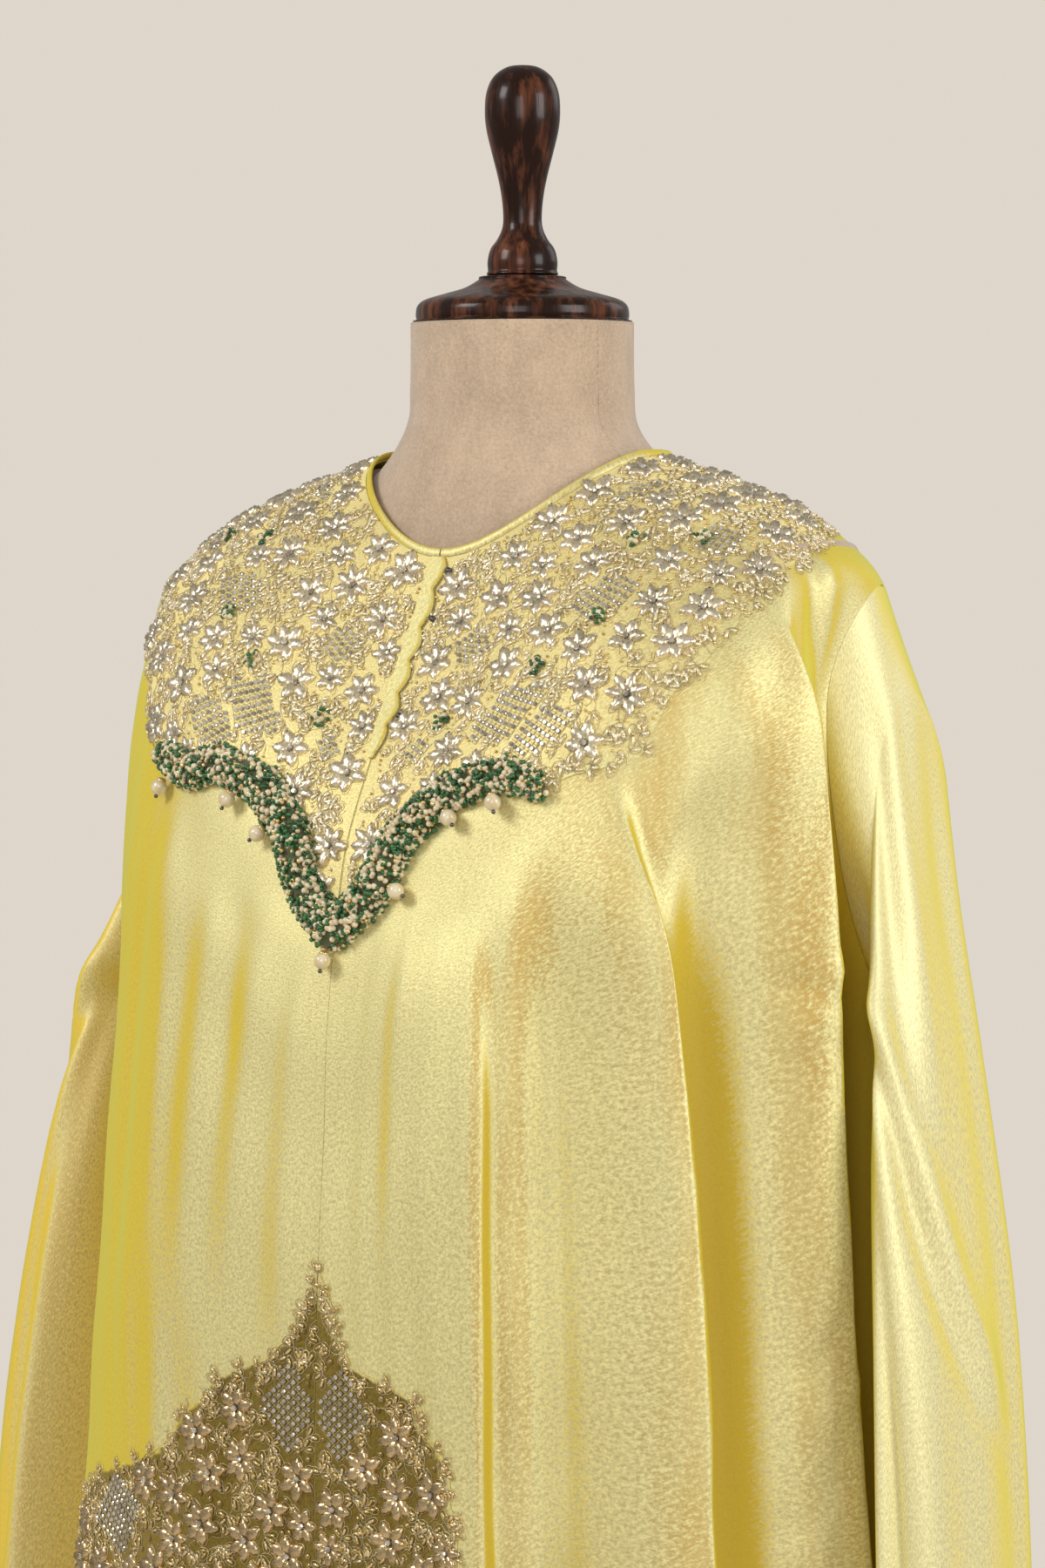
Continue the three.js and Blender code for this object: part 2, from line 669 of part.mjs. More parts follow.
// The ground is a copy of the panel moved out, cut to an outline that is drawn from the front.
function embroidery(name, panel, rows, outline, flowers) {
  const ground = toManifold(panelSheet(panel, rows, GAP, GAP + STITCHED));
  const behind = 60;
  const depth = 320;
  const cutter = new THREE.ExtrudeGeometry(new THREE.Shape(outline), { depth, bevelEnabled: false });
  const punch = shaped(cutter, (at) => {
    at.set(at.x, behind - at.z, SHOULDER_HEIGHT - at.y);
  });
  let piece = ground.intersect(toManifold(punch));
  flowers.forEach(({ across, drop }, i) => {
    const centre = panelAcross(panel, across, drop);
    piece = piece.add(toManifold(flower(panel, centre, i * 0.7)));
  });
  add(name, fromManifold(piece), material(COLOURS.embroidery, 0.3, 0.7));
}

function yokeHem(across) {
  const far = Math.abs(across);
  const next = Math.max(YOKE_EDGE.findIndex((row) => row.across >= far), 1);
  const [from, to] = [YOKE_EDGE[next - 1], YOKE_EDGE[next]];
  return mix(from.drop, to.drop, (far - from.across) / (to.across - from.across));
}

// Rows of flowers over a yoke half, each further from the neck, and clear of its edges.
function yokeFlowers(hand) {
  const found = [];
  const arcs = [
    { section: 0.62, first: 12, last: 74, count: 3 },
    { section: 1.5, first: 8, last: 80, count: 5 },
    { section: 2.4, first: 13, last: 78, count: 5 },
    { section: 3.25, first: 9, last: 66, count: 4 },
  ];
  for (const arc of arcs) {
    for (let i = 0; i < arc.count; i += 1) {
      const angle = -90 + hand * mix(arc.first, arc.last, i / (arc.count - 1));
      const point = bodyPoint(angle, arc.section);
      found.push({ across: point.x, drop: SHOULDER_HEIGHT - point.z });
    }
  }
  found.push({ across: hand * 19, drop: 192 });
  found.push({ across: hand * 132, drop: 132 });
  return found;
}

function yoke(name, panel, hand) {
  const edge = YOKE_EDGE.map((row) => new THREE.Vector2(hand * row.across, row.drop));
  const shoulder = YOKE_SHOULDER.map((row) => new THREE.Vector2(hand * row.across, row.drop));
  const beyond = 40;
  const outline = [
    ...new THREE.SplineCurve(edge).getPoints(36),
    ...shoulder,
    new THREE.Vector2(shoulder.at(-1).x, -beyond),
    new THREE.Vector2(0, -beyond),
  ];
  const rows = PANEL_ROWS.findIndex((section) => section > 6);
  embroidery(name, panel, rows, outline, yokeFlowers(hand));
}

function medallion(name, panel, hand) {
  const key = hand > 0 ? 'left' : 'right';
  const edge = MEDALLION_EDGE.map((row) => new THREE.Vector2(hand * row[key], row.drop));
  const outline = new THREE.SplineCurve(edge).getPoints(40).slice(1, -1);
  const flowers = MEDALLION_FLOWERS[key].map(({ across, drop }) => ({ across: hand * across, drop }));
  embroidery(name, panel, PANEL_ROWS.findIndex((section) => section > 11.5), outline, flowers);
}

function facedPanel(across) {
  return across < 0 ? PANELS.front_right : PANELS.front_left;
}

// A frame on the trim's line: the point, the way along, the way out and the way across.
function trimFrame(share) {
  const at = (s) => {
    const across = (s < 0 ? TRIM_REACH.right : TRIM_REACH.left) * s;
    const spot = panelAcross(facedPanel(across), across, yokeHem(across));
    return panelPoint(facedPanel(across), spot.column, spot.row, GAP + STITCHED);
  };
  const step = 0.04;
  const along = at(Math.min(share + step, 1)).sub(at(Math.max(share - step, -1))).normalize();
  const middle = at(share);
  const angle = (Math.atan2(middle.y, middle.x) * 180) / Math.PI;
  const out = bodyNormal(angle, 4.2, false);
  const down = along.clone().cross(out).normalize();
  return { middle, out, down };
}

// The rope of beads: a thick roll, tapered to its tips, its skin lumpy with beads.
function beadTrim() {
  const lump = 1.1;
  const lift = 1.2;
  const frames = Array.from({ length: TRIM_STEPS + 1 }, (_, i) => trimFrame((2 * i) / TRIM_STEPS - 1));
  const roll = shaped(new THREE.CylinderGeometry(1, 1, TRIM_STEPS, TRIM_SIDES, TRIM_STEPS), (at) => {
    const step = Math.round(at.y + TRIM_STEPS / 2);
    const { middle, out, down } = frames[step];
    const turn = Math.atan2(at.z, at.x);
    const side = Math.round((turn / (2 * Math.PI)) * TRIM_SIDES);
    const share = Math.abs((2 * step) / TRIM_STEPS - 1);
    const taper = 0.35 + 0.65 * Math.sqrt(1 - share ** 4);
    const bead = (step + side) % 2 === 0 ? lump : -lump;
    const reach = Math.hypot(at.x, at.z);
    const wide = reach * (TRIM_HALF_WIDTH + bead) * taper * Math.cos(turn);
    const high = lift + (TRIM_HEIGHT / 2) * taper * (1 + reach * Math.sin(turn)) + Math.max(bead, 0);
    at.copy(middle).addScaledVector(down, wide).addScaledVector(out, high);
  });
  add('bead_trim', roll, material(COLOURS.beads, 0.4, 0.1));
}

function pearlDrops() {
  const clear = 1.6;
  PEARL_PLACES.forEach((share, i) => {
    const { middle, out, down } = trimFrame(share);
    const side = down.z > 0 ? -1 : 1;
    const centre = middle.addScaledVector(down, side * (TRIM_HALF_WIDTH + PEARL_RADIUS + clear));
    centre.addScaledVector(out, PEARL_RADIUS + 1);
    const pearl = shaped(new THREE.IcosahedronGeometry(PEARL_RADIUS, 1), (at) => at.add(centre));
    add(`pearl_drop_${i + 1}`, pearl, material(COLOURS.pearl, 0.25));
  });
}

// ---- Placket, hooks and binding -----------------------------------------------------------

// A point at a distance from the centre front, at a section, moved out.
function nearFront(across, section, out) {
  const reach = column(SECTIONS, 'front', section);
  return raised(-90 + (Math.asin(across / reach) * 180) / Math.PI, section, out);
}

function placket() {
  const rows = 24;
  const start = 0.06;
  const lift = GAP + STITCHED + 1.5;
  const flap = wall(2, rows, (across, row, outside) => {
    const along = row / rows;
    const lap = PLACKET_LAP + SCALLOP_DEPTH * Math.abs(Math.sin(Math.PI * SCALLOPS * along));
    const taper = Math.min((1 - along) * 6, 1);
    const place = mix(PLACKET_BACK * (0.4 + 0.6 * taper), lap * (0.3 + 0.7 * taper), across / 2);
    return nearFront(place, mix(start, PLACKET_END, along), outside ? lift + CLOTH : lift);
  });
  add('placket', flap, material(COLOURS.binding, 0.45, 0.3));
}

function hookBeads() {
  HOOK_PLACES.forEach((section, i) => {
    const across = PLACKET_LAP + SCALLOP_DEPTH + HOOK_RADIUS + 1;
    const centre = nearFront(across, section, GAP + STITCHED + HOOK_RADIUS + 0.8);
    const bead = shaped(new THREE.IcosahedronGeometry(HOOK_RADIUS, 1), (at) => at.add(centre));
    add(`hook_bead_${i + 1}`, bead, material(COLOURS.steel, 0.3, 0.9));
  });
}

// A narrow strip that finishes the neckline, from the centre front round to it again.
function neckBinding() {
  const columns = 48;
  const open = 0.25;
  const strip = wall(columns, 1, (across, row, outside) => {
    const angle = mix(-90 + open, 270 - open, across / columns);
    const edge = bodyPoint(angle, 0);
    const rise = edge.clone().sub(bodyPoint(angle, 0.3)).normalize();
    rise.z += 0.6;
    rise.normalize();
    const up = row < 0.5 ? BINDING_HEIGHT + GAP : GAP;
    return raised(angle, 0, outside ? 0.5 : -CLOTH).addScaledVector(rise, up);
  });
  add('neck_binding', strip, material(COLOURS.binding, 0.45, 0.3));
}

// ---- Dress form and stand -----------------------------------------------------------------

function ovalPoint(row, angle) {
  const c = Math.cos(radians(angle));
  const s = Math.sin(radians(angle));
  const deep = s < 0 ? row.front : row.back;
  const reach = ((Math.abs(c) / row.side) ** 2 + (Math.abs(s) / deep) ** 2) ** -0.5;
  const deepDrop = s < 0 ? row.frontDrop : row.backDrop;
  const drop = row.rise === undefined ? mix(row.sideDrop, deepDrop, s * s) : -row.rise;
  return new THREE.Vector3(reach * c, reach * s, SHOULDER_HEIGHT - drop);
}

// The form's skin follows the inside of the cloth over the shoulders and is its own shape below.
function dressForm() {
  const shoulder = [0, 0.5, 1, 1.5, 2, 2.5, 3, 3.4];
  const rings = [
    ...NECK_RINGS.map((row) => (angle) => ovalPoint(row, angle)),
    ...shoulder.map((section) => (angle) => {
      const inset = section === 0 ? FORM_INSET + 2.4 : FORM_INSET;
      return raised(angle, section, -inset, false);
    }),
    ...FORM_SECTIONS.map((row) => (angle) => ovalPoint(row, angle)),
  ];
  const columns = 32;
  const last = rings.length - 1;
  const skin = shaped(new THREE.CylinderGeometry(1, 1, last, columns, last), (at) => {
    const ring = rings[Math.round(last / 2 - at.y)];
    const angle = (Math.atan2(at.z, at.x) * 180) / Math.PI;
    const edge = ring(angle);
    const share = Math.hypot(at.x, at.z);
    at.set(edge.x * share, edge.y * share, edge.z);
  });
  add('form_torso', skin, material(COLOURS.linen, 0.9));
}

function turned(name, profile, look, lift = 0) {
  const points = profile.map(([radius, height]) => new THREE.Vector2(radius, height));
  const solid = shaped(new THREE.LatheGeometry(points, 22), (at) => at.set(at.x, -at.z, at.y + lift));
  add(name, solid, look);
}

function stand() {
  const walnut = material(COLOURS.walnut, 0.2);
  const foot = SHOULDER_HEIGHT - FORM_SECTIONS.at(-1).sideDrop;
  turned('form_cap', CAP_PROFILE, walnut, SHOULDER_HEIGHT);
  turned('form_finial', FINIAL_PROFILE, walnut, SHOULDER_HEIGHT);
  const pole = [
    [0, BASE_HEIGHT + GAP],
    [POLE_RADIUS, BASE_HEIGHT + GAP],
    [POLE_RADIUS, foot - GAP],
    [0, foot - GAP],
  ];
  turned('stand_pole', pole, walnut);
  const edge = 8;
  const base = [
    [0, 0],
    [BASE_RADIUS, 0],
    [BASE_RADIUS, BASE_HEIGHT - edge],
    [BASE_RADIUS - edge, BASE_HEIGHT - edge / 4],
    [POLE_RADIUS * 3, BASE_HEIGHT],
    [0, BASE_HEIGHT],
  ];
  turned('stand_base', base, walnut);
}

panels();
sleeve('sleeve_left', 1);
sleeve('sleeve_right', -1);
yoke('yoke_left', PANELS.front_left, 1);
yoke('yoke_right', PANELS.front_right, -1);
medallion('medallion_left', PANELS.front_left, 1);
medallion('medallion_right', PANELS.front_right, -1);
beadTrim();
pearlDrops();
placket();
hookBeads();
neckBinding();
dressForm();
stand();

export default kaftan;
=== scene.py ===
"""A beaded kaftan in metallic tissue on a limbless dress form: cloth, embroidery, wood, stage."""

import math
from functools import partial

import bmesh
import bpy
import numpy as np
from bpy.props import FloatProperty, FloatVectorProperty, IntProperty, PointerProperty
from mathutils import Matrix, Vector


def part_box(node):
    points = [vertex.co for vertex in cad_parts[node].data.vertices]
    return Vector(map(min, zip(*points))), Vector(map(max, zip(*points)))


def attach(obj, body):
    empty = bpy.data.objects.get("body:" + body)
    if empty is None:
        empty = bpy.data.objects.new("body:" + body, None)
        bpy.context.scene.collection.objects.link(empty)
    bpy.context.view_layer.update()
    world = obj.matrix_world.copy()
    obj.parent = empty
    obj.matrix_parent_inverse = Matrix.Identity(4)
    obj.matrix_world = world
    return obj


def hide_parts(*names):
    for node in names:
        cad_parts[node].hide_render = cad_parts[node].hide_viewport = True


bl_info = {
    "name": "Beaded kaftan",
    "version": (1, 0, 0),
    "blender": (4, 5, 0),
    "location": "View3D > Sidebar > Kaftan",
    "description": "Makes the cloth, embroidery and stand of a beaded kaftan",
    "category": "Add Mesh",
}

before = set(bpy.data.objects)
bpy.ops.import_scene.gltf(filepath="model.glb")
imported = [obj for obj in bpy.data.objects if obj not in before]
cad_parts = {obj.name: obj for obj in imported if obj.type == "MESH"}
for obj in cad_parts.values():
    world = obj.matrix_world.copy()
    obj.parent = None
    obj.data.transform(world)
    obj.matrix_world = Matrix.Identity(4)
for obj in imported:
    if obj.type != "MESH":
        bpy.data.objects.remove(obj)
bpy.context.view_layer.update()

MM = 0.001
BODY = "root"
SHOULDER_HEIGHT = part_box("form_finial")[1][2] / MM - 200  # the finial ends 200 mm above it
CLOTH = 0.9  # thickness of the shells, in mm
STITCH_LIFT = 0.5  # top of the embroidered ground above the cloth
BORDER = 9  # how far in from its edge a ground is fully stitched
LEAF_POINTS, PETAL_POINTS = 11, 10  # points of the thread round a leaf and round a petal
FORM_COLUMNS, FORM_STEPS = 128, 140  # of the mesh over the dress form


# ---- Tables -------------------------------------------------------------------------------


def table(columns, rows):
    """A table of numbers as one array for each named column."""
    names = columns.split()
    return {name: np.array([row[i] for row in rows], float) for i, name in enumerate(names)}


# Rings of the body from the neckline to the hem: reach and drop at the side, front and back.
SECTIONS = table(
    "side side_drop front front_drop back back_drop round",
    [
        (83, 1, 72, 52, 62, 8, 2.1),  # neckline
        (118, 12, 92, 88, 84, 36, 2.15),  # collarbone
        (152, 24, 112, 122, 100, 74, 2.2),  # upper yoke
        (180, 40, 132, 155, 110, 112, 2.2),  # lower yoke
        (202, 64, 150, 192, 118, 150, 2.25),  # shoulder tip
        (210, 112, 158, 226, 121, 185, 2.3),  # upper arm
        (214, 180, 165, 262, 122, 232, 2.35),  # chest
        (217, 290, 170, 322, 122, 305, 2.4),  # underarm
        (220, 400, 176, 410, 120, 402, 2.5),  # waist
        (225, 500, 178, 500, 121, 500, 2.6),  # high hip
        (231, 600, 180, 600, 126, 600, 2.6),  # hip
        (246, 800, 192, 800, 138, 800, 2.4),  # thigh
        (264, 1050, 207, 1050, 155, 1050, 2.3),  # knee
        (285, 1350, 224, 1350, 176, 1350, 2.2),  # hem
    ],
)
HEM = len(SECTIONS["side"]) - 1
HIGH_HIP = 9

# Main folds: crest angle at the top, high hip and hem, where it starts and is full, its depth
# at the high hip and the hem, half-widths in degrees on each flank, and how far it leans over.
FOLDS = table(
    "top mid low start full depth hem_depth width far_width lean",
    [
        (-64, -63, -61, 5.4, 7.0, 12, 18, 5.0, 2.2, 6),
        (-53, -50, -47.5, 5.0, 7.0, -15, -22, 2.6, 4.6, 0),
        (-44, -39, -36, 4.4, 6.6, 27, 34, 7.5, 2.3, 21),
        (-32, -28, -26, 4.6, 6.8, -17, -22, 3.6, 5.5, 0),
        (-21, -16, -14, 3.1, 5.2, 15, 26, 8.0, 2.1, 18),
        (-7, -6, -6, 3.6, 5.2, -18, -18, 3.2, 5.4, 0),
        (-142, -143, -146, 6, 9, 6, 18, 4.0, 8.0, -6),
        (-160, -160, -160, 5, 7.5, -8, -18, 6, 5, 0),
        (-171, -170, -170, 6, 8.5, 6, 16, 4, 6, -4),
        (-118, -118, -120, 8, 11, 4, 16, 7, 9, 0),
        (-104, -104, -104, 9, 12, -2, -10, 7, 7, 0),
        (26, 26, 26, 6, 9, 9, 22, 4, 7, -4),
        (38, 38, 37, 5.5, 8, -12, -20, 6, 4, 0),
        (50, 49, 48, 4.5, 8, 15, 26, 3, 7.5, -9),
        (64, 63, 62, 4.5, 8, -12, -20, 7, 5, 0),
        (80, 79, 78, 5, 8, 11, 20, 6, 8, -4),
        (95, 94, 94, 5, 8, -11, -18, 6, 5, 0),
        (110, 110, 111, 4.5, 8, 15, 26, 7.5, 3, 10),
        (125, 125, 127, 4.5, 8, -12, -20, 4, 7, 0),
        (142, 142, 143, 6, 9, 10, 22, 7, 4, 6),
        (156, 156, 156, 4, 7, -10, -18, 5, 6, 0),
    ],
)

# Small creases: both ends as angle and section, half-width and depth in mm.
CREASES = table(
    "angle section end_angle end_section width depth",
    [
        (-14, 3.3, -17, 4.6, 5, 2.4),
        (-9, 3.4, -11, 4.9, 4.5, -2.6),
        (-5, 3.5, -7, 5.1, 4, 2.4),
        (-22, 3.6, -24, 4.9, 6, -2.2),
        (-28, 4.1, -31, 5.6, 7, 2.2),
        (-36, 4.6, -41, 6.1, 8, -2.8),
        (-33, 4.9, -36, 6.9, 6, 2.6),
        (-20, 5.3, -22, 7.4, 7, -3.0),
        (-25, 6.6, -17, 6.75, 3.5, -2.2),
        (-23, 6.95, -15, 6.5, 3.0, 1.8),
        (-22, 8.5, -17, 8.15, 3.2, -2.6),
        (-21, 8.75, -16, 8.45, 3.0, 2.2),
        (-24, 9.3, -19, 8.9, 4.0, -2.0),
        (-57, 5.2, -56, 7.3, 7, 2.4),
        (-74, 5.4, -73, 8.2, 9, 2.0),
        (-82, 6.4, -80, 9.6, 10, -1.6),
        (-97, 5.6, -99, 8.8, 9, 1.7),
        (-112, 5.0, -113, 7.6, 8, -1.8),
        (-129, 5.2, -130, 8.6, 7, 2.2),
        (-137, 6.2, -137, 9.8, 6, -1.8),
        (-150, 4.2, -152, 6.6, 6, 2.4),
        (-157, 3.8, -158, 5.2, 5, -2.2),
        (-165, 3.6, -164, 5.0, 4.5, 2.2),
        (-99, 9.4, -99, 12.6, 12, 4),
        (-76, 9.6, -75, 12.8, 12, -5),
        (-90, 11.0, -90, 13.0, 12, 4),
        (29, 3.6, 34, 5.2, 6, 2.2),
        (44, 3.4, 52, 5.6, 7, -2.4),
        (70, 2.4, 72, 5.2, 8, 1.8),
        (88, 3.0, 88, 6.4, 9, -2.0),
        (104, 2.6, 103, 5.0, 8, 1.8),
        (134, 3.2, 128, 5.4, 7, -2.4),
        (148, 3.6, 145, 5.4, 6, 2.2),
        (72, 7.2, 73, 10.4, 7, 3.0),
        (101, 7.6, 102, 10.8, 7, -2.6),
        (133, 7.4, 134, 10.2, 6, 2.8),
    ],
)

SIDE_SEAM = 9
ARMHOLE_HALF_ANGLE = 14
ARMHOLE_SECTION = 5.5
ARMHOLE_HALF_SECTIONS = 1.5

SLEEVE_RINGS = table(
    "outer outer_drop inner inner_drop depth shift right_out right_shift",
    [
        (217, 118, 226, 302, 40, 24, 4, 0),  # top
        (232, 196, 229, 322, 47, 13, 8, -4),  # upper
        (247, 270, 233, 352, 56, 5, 12, -8),  # above the elbow
        (266, 394, 237, 420, 64, 1, 16, -14),  # elbow
        (275, 484, 240, 495, 67, 0, 20, -20),  # forearm
        (280, 574, 243, 576, 68, 0, 24, -26),  # wrist
        (284, 665, 247, 665, 68, 0, 28, -30),  # cuff
    ],
)
CUFF = len(SLEEVE_RINGS["outer"])

# Creases along a sleeve: crest at the top and at the cuff, round the tube from its outer edge
# by way of the back, the rings between which it shows, its depth and its half-width.
SLEEVE_FOLDS = table(
    "top low start end depth width",
    [
        (262, 330, 0, 9, 4, 14),
        (236, 300, 0, 9, -5, 13),
        (179, 469, 1.0, 4.9, 5, 7),
        (164, 454, 1.0, 4.9, -6, 8),
        (100, 70, 0, 9, -7, 16),
        (140, 120, 0, 9, 4, 16),
        (300, 352, 0.4, 3.6, -3, 9),
        (322, 372, 0.2, 3.2, 3, 8),
        (286, 282, 3.4, 9, -3, 8),
        (270, 262, 2.6, 9, 3, 9),
        (20, 34, 1.2, 6, -2.5, 10),
        (52, 46, 3, 9, 3, 10),
        (205, 190, 2, 9, 3, 12),
        (168, 160, 1, 7, -3, 12),
    ],
)

YOKE_EDGE = table(
    "across drop",
    [
        (0, 236),
        (20, 217),
        (34, 188),
        (58, 166),
        (88, 156),
        (108, 162),
        (124, 155),
        (140, 151),
        (153, 146),
        (157, 132),
        (162, 116),
        (171, 105),
        (178, 91),
        (184, 77),
        (190, 62),
        (191, 51),
    ],
)
# Near the shoulder seam the edge is told by its turn from the centre front.
YOKE_SHOULDER = table("turn section", [(70, 6), (80, 3.6), (86, 3.34), (92, 3.08), (99, 2.76)])
TRIM_LEFT, TRIM_RIGHT = 110, 134

MEDALLION_EDGE = table(
    "drop left right",
    [
        (400, 0, 0),
        (412, 7, 7),
        (432, 14, 16),
        (447, 22, 30),
        (455, 50, 52),
        (461, 65, 66),
        (474, 66, 76),
        (482, 79, 90),
        (496, 84, 98),
        (506, 84, 112),
        (515, 88, 136),
        (524, 89, 166),
        (540, 89, 186),
        (580, 90, 192),
        (650, 90, 190),
        (705, 66, 130),
        (750, 24, 40),
        (790, 0, 0),
    ],
)

PEARL_PLACES = (-0.9, -0.52, -0.31, 0, 0.22, 0.49, 0.75)
HOOK_PLACES = (0.3, 0.9, 2.3)
PLACKET_END = 2.9
PLACKET_BACK = -4
PLACKET_LAP = 3
SCALLOP_DEPTH = 3.5
SCALLOPS = 6

FORM_SECTIONS = table(
    "side side_drop front front_drop back back_drop",
    [
        (58.5, -68, 56, -68, 55, -68),  # top of the neck
        (59, -34, 56, -34, 55, -34),  # neck
        (62, -14, 57, -14, 56, -14),  # root of the neck
        (184, 112, 140, 218, 108, 172),  # armhole plate
        (170, 250, 148, 270, 110, 260),  # bust
        (138, 420, 116, 420, 94, 420),  # waist
        (176, 600, 130, 600, 108, 600),  # hip
        (172, 655, 126, 655, 104, 655),  # foot
    ],
)
NECK_RINGS = 3
FORM_INSET = 2.6

CAP_PROFILE = table(
    "radius rise",
    [
        (0, 68.4),
        (52, 68.4),
        (54.6, 70),
        (55, 73),
        (54, 77),
        (50, 80),
        (40, 83),
        (30, 86),
        (23, 90),
        (20.5, 92),
        (0, 92),
    ],
)
FINIAL_PROFILE = table(
    "radius rise",
    [
        (0, 92.4),
        (17, 92.4),
        (17.8, 95),
        (18, 100),
        (16.5, 106),
        (13, 111),
        (10.4, 117),
        (10, 124),
        (11, 134),
        (13, 144),
        (16.3, 157),
        (18.6, 167),
        (19.4, 176),
        (18.6, 186),
        (15, 194),
        (8, 199),
        (0, 200),
    ],
)


# ---- Settings -----------------------------------------------------------------------------


def colour(name, description, default):
    return FloatVectorProperty(
        name=name, description=description, subtype="COLOR", size=3, min=0, max=1, default=default
    )


class KaftanSizes(bpy.types.PropertyGroup):
    bead: FloatProperty(
        name="Bead", description="Diameter of a seed bead", default=0.0026, unit="LENGTH", subtype="DISTANCE"
    )
    petal: FloatProperty(
        name="Flower", description="Radius of a metal flower", default=0.0112, unit="LENGTH", subtype="DISTANCE"
    )
    pearl: FloatProperty(
        name="Pearl", description="Radius of a pearl drop", default=0.0042, unit="LENGTH", subtype="DISTANCE"
    )
    trim_width: FloatProperty(
        name="Trim", description="Half-width of the bead rope", default=0.009, unit="LENGTH", subtype="DISTANCE"
    )
    trim_beads: IntProperty(name="Trim beads", description="Beads in the rope", default=3000, min=100)
    seed: IntProperty(name="Seed", description="Starts the scatter of small pieces", default=7)


class KaftanColours(bpy.types.PropertyGroup):
    warp: colour("Warp", "Yellow silk thread of the tissue", (0.76, 0.57, 0.05))
    weft: colour("Weft", "Silver-gold metal thread of the tissue", (0.88, 0.80, 0.40))
    petal: colour("Petal", "Metal of the flowers", (1.0, 0.87, 0.62))
    antique: colour("Antique", "Metal of the medallion's flowers", (0.80, 0.60, 0.33))
    green: colour("Green bead", "Green glass", (0.008, 0.07, 0.012))
    pearl: colour("Pearl", "Cream pearl", (0.70, 0.56, 0.33))
    linen: colour("Linen", "Cover of the dress form", (0.64, 0.47, 0.32))
    walnut: colour("Walnut", "Dark polished wood", (0.018, 0.006, 0.003))
    wall: colour("Wall", "Wall and floor", (0.735, 0.67, 0.60))


# ---- The surface of the body --------------------------------------------------------------


def smooth(start, end, value):
    share = np.clip((value - start) / max(end - start, 1e-6), 0, 1)
    return share * share * (3 - 2 * share)


def column(values, place):
    """A column of a table between its rows, on a smooth curve."""
    last = len(values) - 1
    place = np.clip(place, 0, last - 1e-9)
    row = np.floor(place).astype(int)
    f = place - row
    before, start, end, after = (values[np.clip(row + step, 0, last)] for step in (-1, 0, 1, 2))
    rise, run = (end - before) / 2, (after - start) / 2
    f2, f3 = f * f, f * f * f
    risen = (2 * f3 - 3 * f2 + 1) * start + (f3 - 2 * f2 + f) * rise
    return risen + (3 * f2 - 2 * f3) * end + (f3 - f2) * run


def rows_of(values):
    """The rows of a table, each a dictionary of its named columns."""
    count = len(next(iter(values.values())))
    return [{name: value[i] for name, value in values.items()} for i in range(count)]


def turn_between(angle, other):
    return (angle - other + 180) % 360 - 180


def folds_at(angle, section):
    out = np.zeros_like(angle)
    sideways = np.zeros_like(angle)
    below = np.maximum(section - HIGH_HIP, 0) / (HEM - HIGH_HIP)
    for fold in rows_of(FOLDS):
        upper = fold["top"] + (fold["mid"] - fold["top"]) * smooth(fold["start"], HIGH_HIP, section)
        crest = upper + (fold["low"] - fold["mid"]) * below
        grown = fold["depth"] * smooth(fold["start"], fold["full"], section)
        depth = grown + (fold["hem_depth"] - fold["depth"]) * below
        gap = turn_between(angle, crest)
        share = np.exp(-0.5 * (gap / np.where(gap < 0, fold["width"], fold["far_width"])) ** 2)
        out += depth * share
        sideways += fold["lean"] * (depth / fold["depth"]) * share
    return out, sideways


def oval(angle, row):
    """Reach and drop of a ring with the named sizes, at an angle."""
    c, s = np.cos(np.radians(angle)), np.sin(np.radians(angle))
    deep = np.where(s < 0, row["front"], row["back"])
    deep_drop = np.where(s < 0, row["front_drop"], row["back_drop"])
    power = row.get("round", 2.0)
    reach = ((np.abs(c) / row["side"]) ** power + (np.abs(s) / deep) ** power) ** (-1 / power)
    return reach, row["side_drop"] + (deep_drop - row["side_drop"]) * s * s


def body_point(angle, section, folded=True):
    """Points of the cloth, in mm."""
    angle, section = np.broadcast_arrays(np.asarray(angle, float), np.asarray(section, float))
    reach, drop = oval(angle, {name: column(values, section) for name, values in SECTIONS.items()})
    out, sideways = folds_at(angle, section) if folded else (0.0, 0.0)
    c, s = np.cos(np.radians(angle)), np.sin(np.radians(angle))
    across = (reach + out) * c - sideways * s
    deep = (reach + out) * s + sideways * c
    return np.stack([across, deep, SHOULDER_HEIGHT - drop], axis=-1)


def unit(vectors):
    return vectors / np.maximum(np.linalg.norm(vectors, axis=-1, keepdims=True), 1e-12)


def body_frame(angle, section, folded=True):
    """Ways round, down and out of the cloth."""
    turn, step = 0.3, 0.03
    across = body_point(angle + turn, section, folded) - body_point(angle - turn, section, folded)
    down = body_point(angle, np.minimum(section + step, HEM), folded)
    down = down - body_point(angle, np.maximum(section - step, 0), folded)
    out = unit(np.cross(across, -down))
    across = unit(across)
    return across, np.cross(across, out), out


def raised(angle, section, lift, folded=True):
    out = body_frame(angle, section, folded)[2]
    return body_point(angle, section, folded) + out * np.asarray(lift)[..., None]


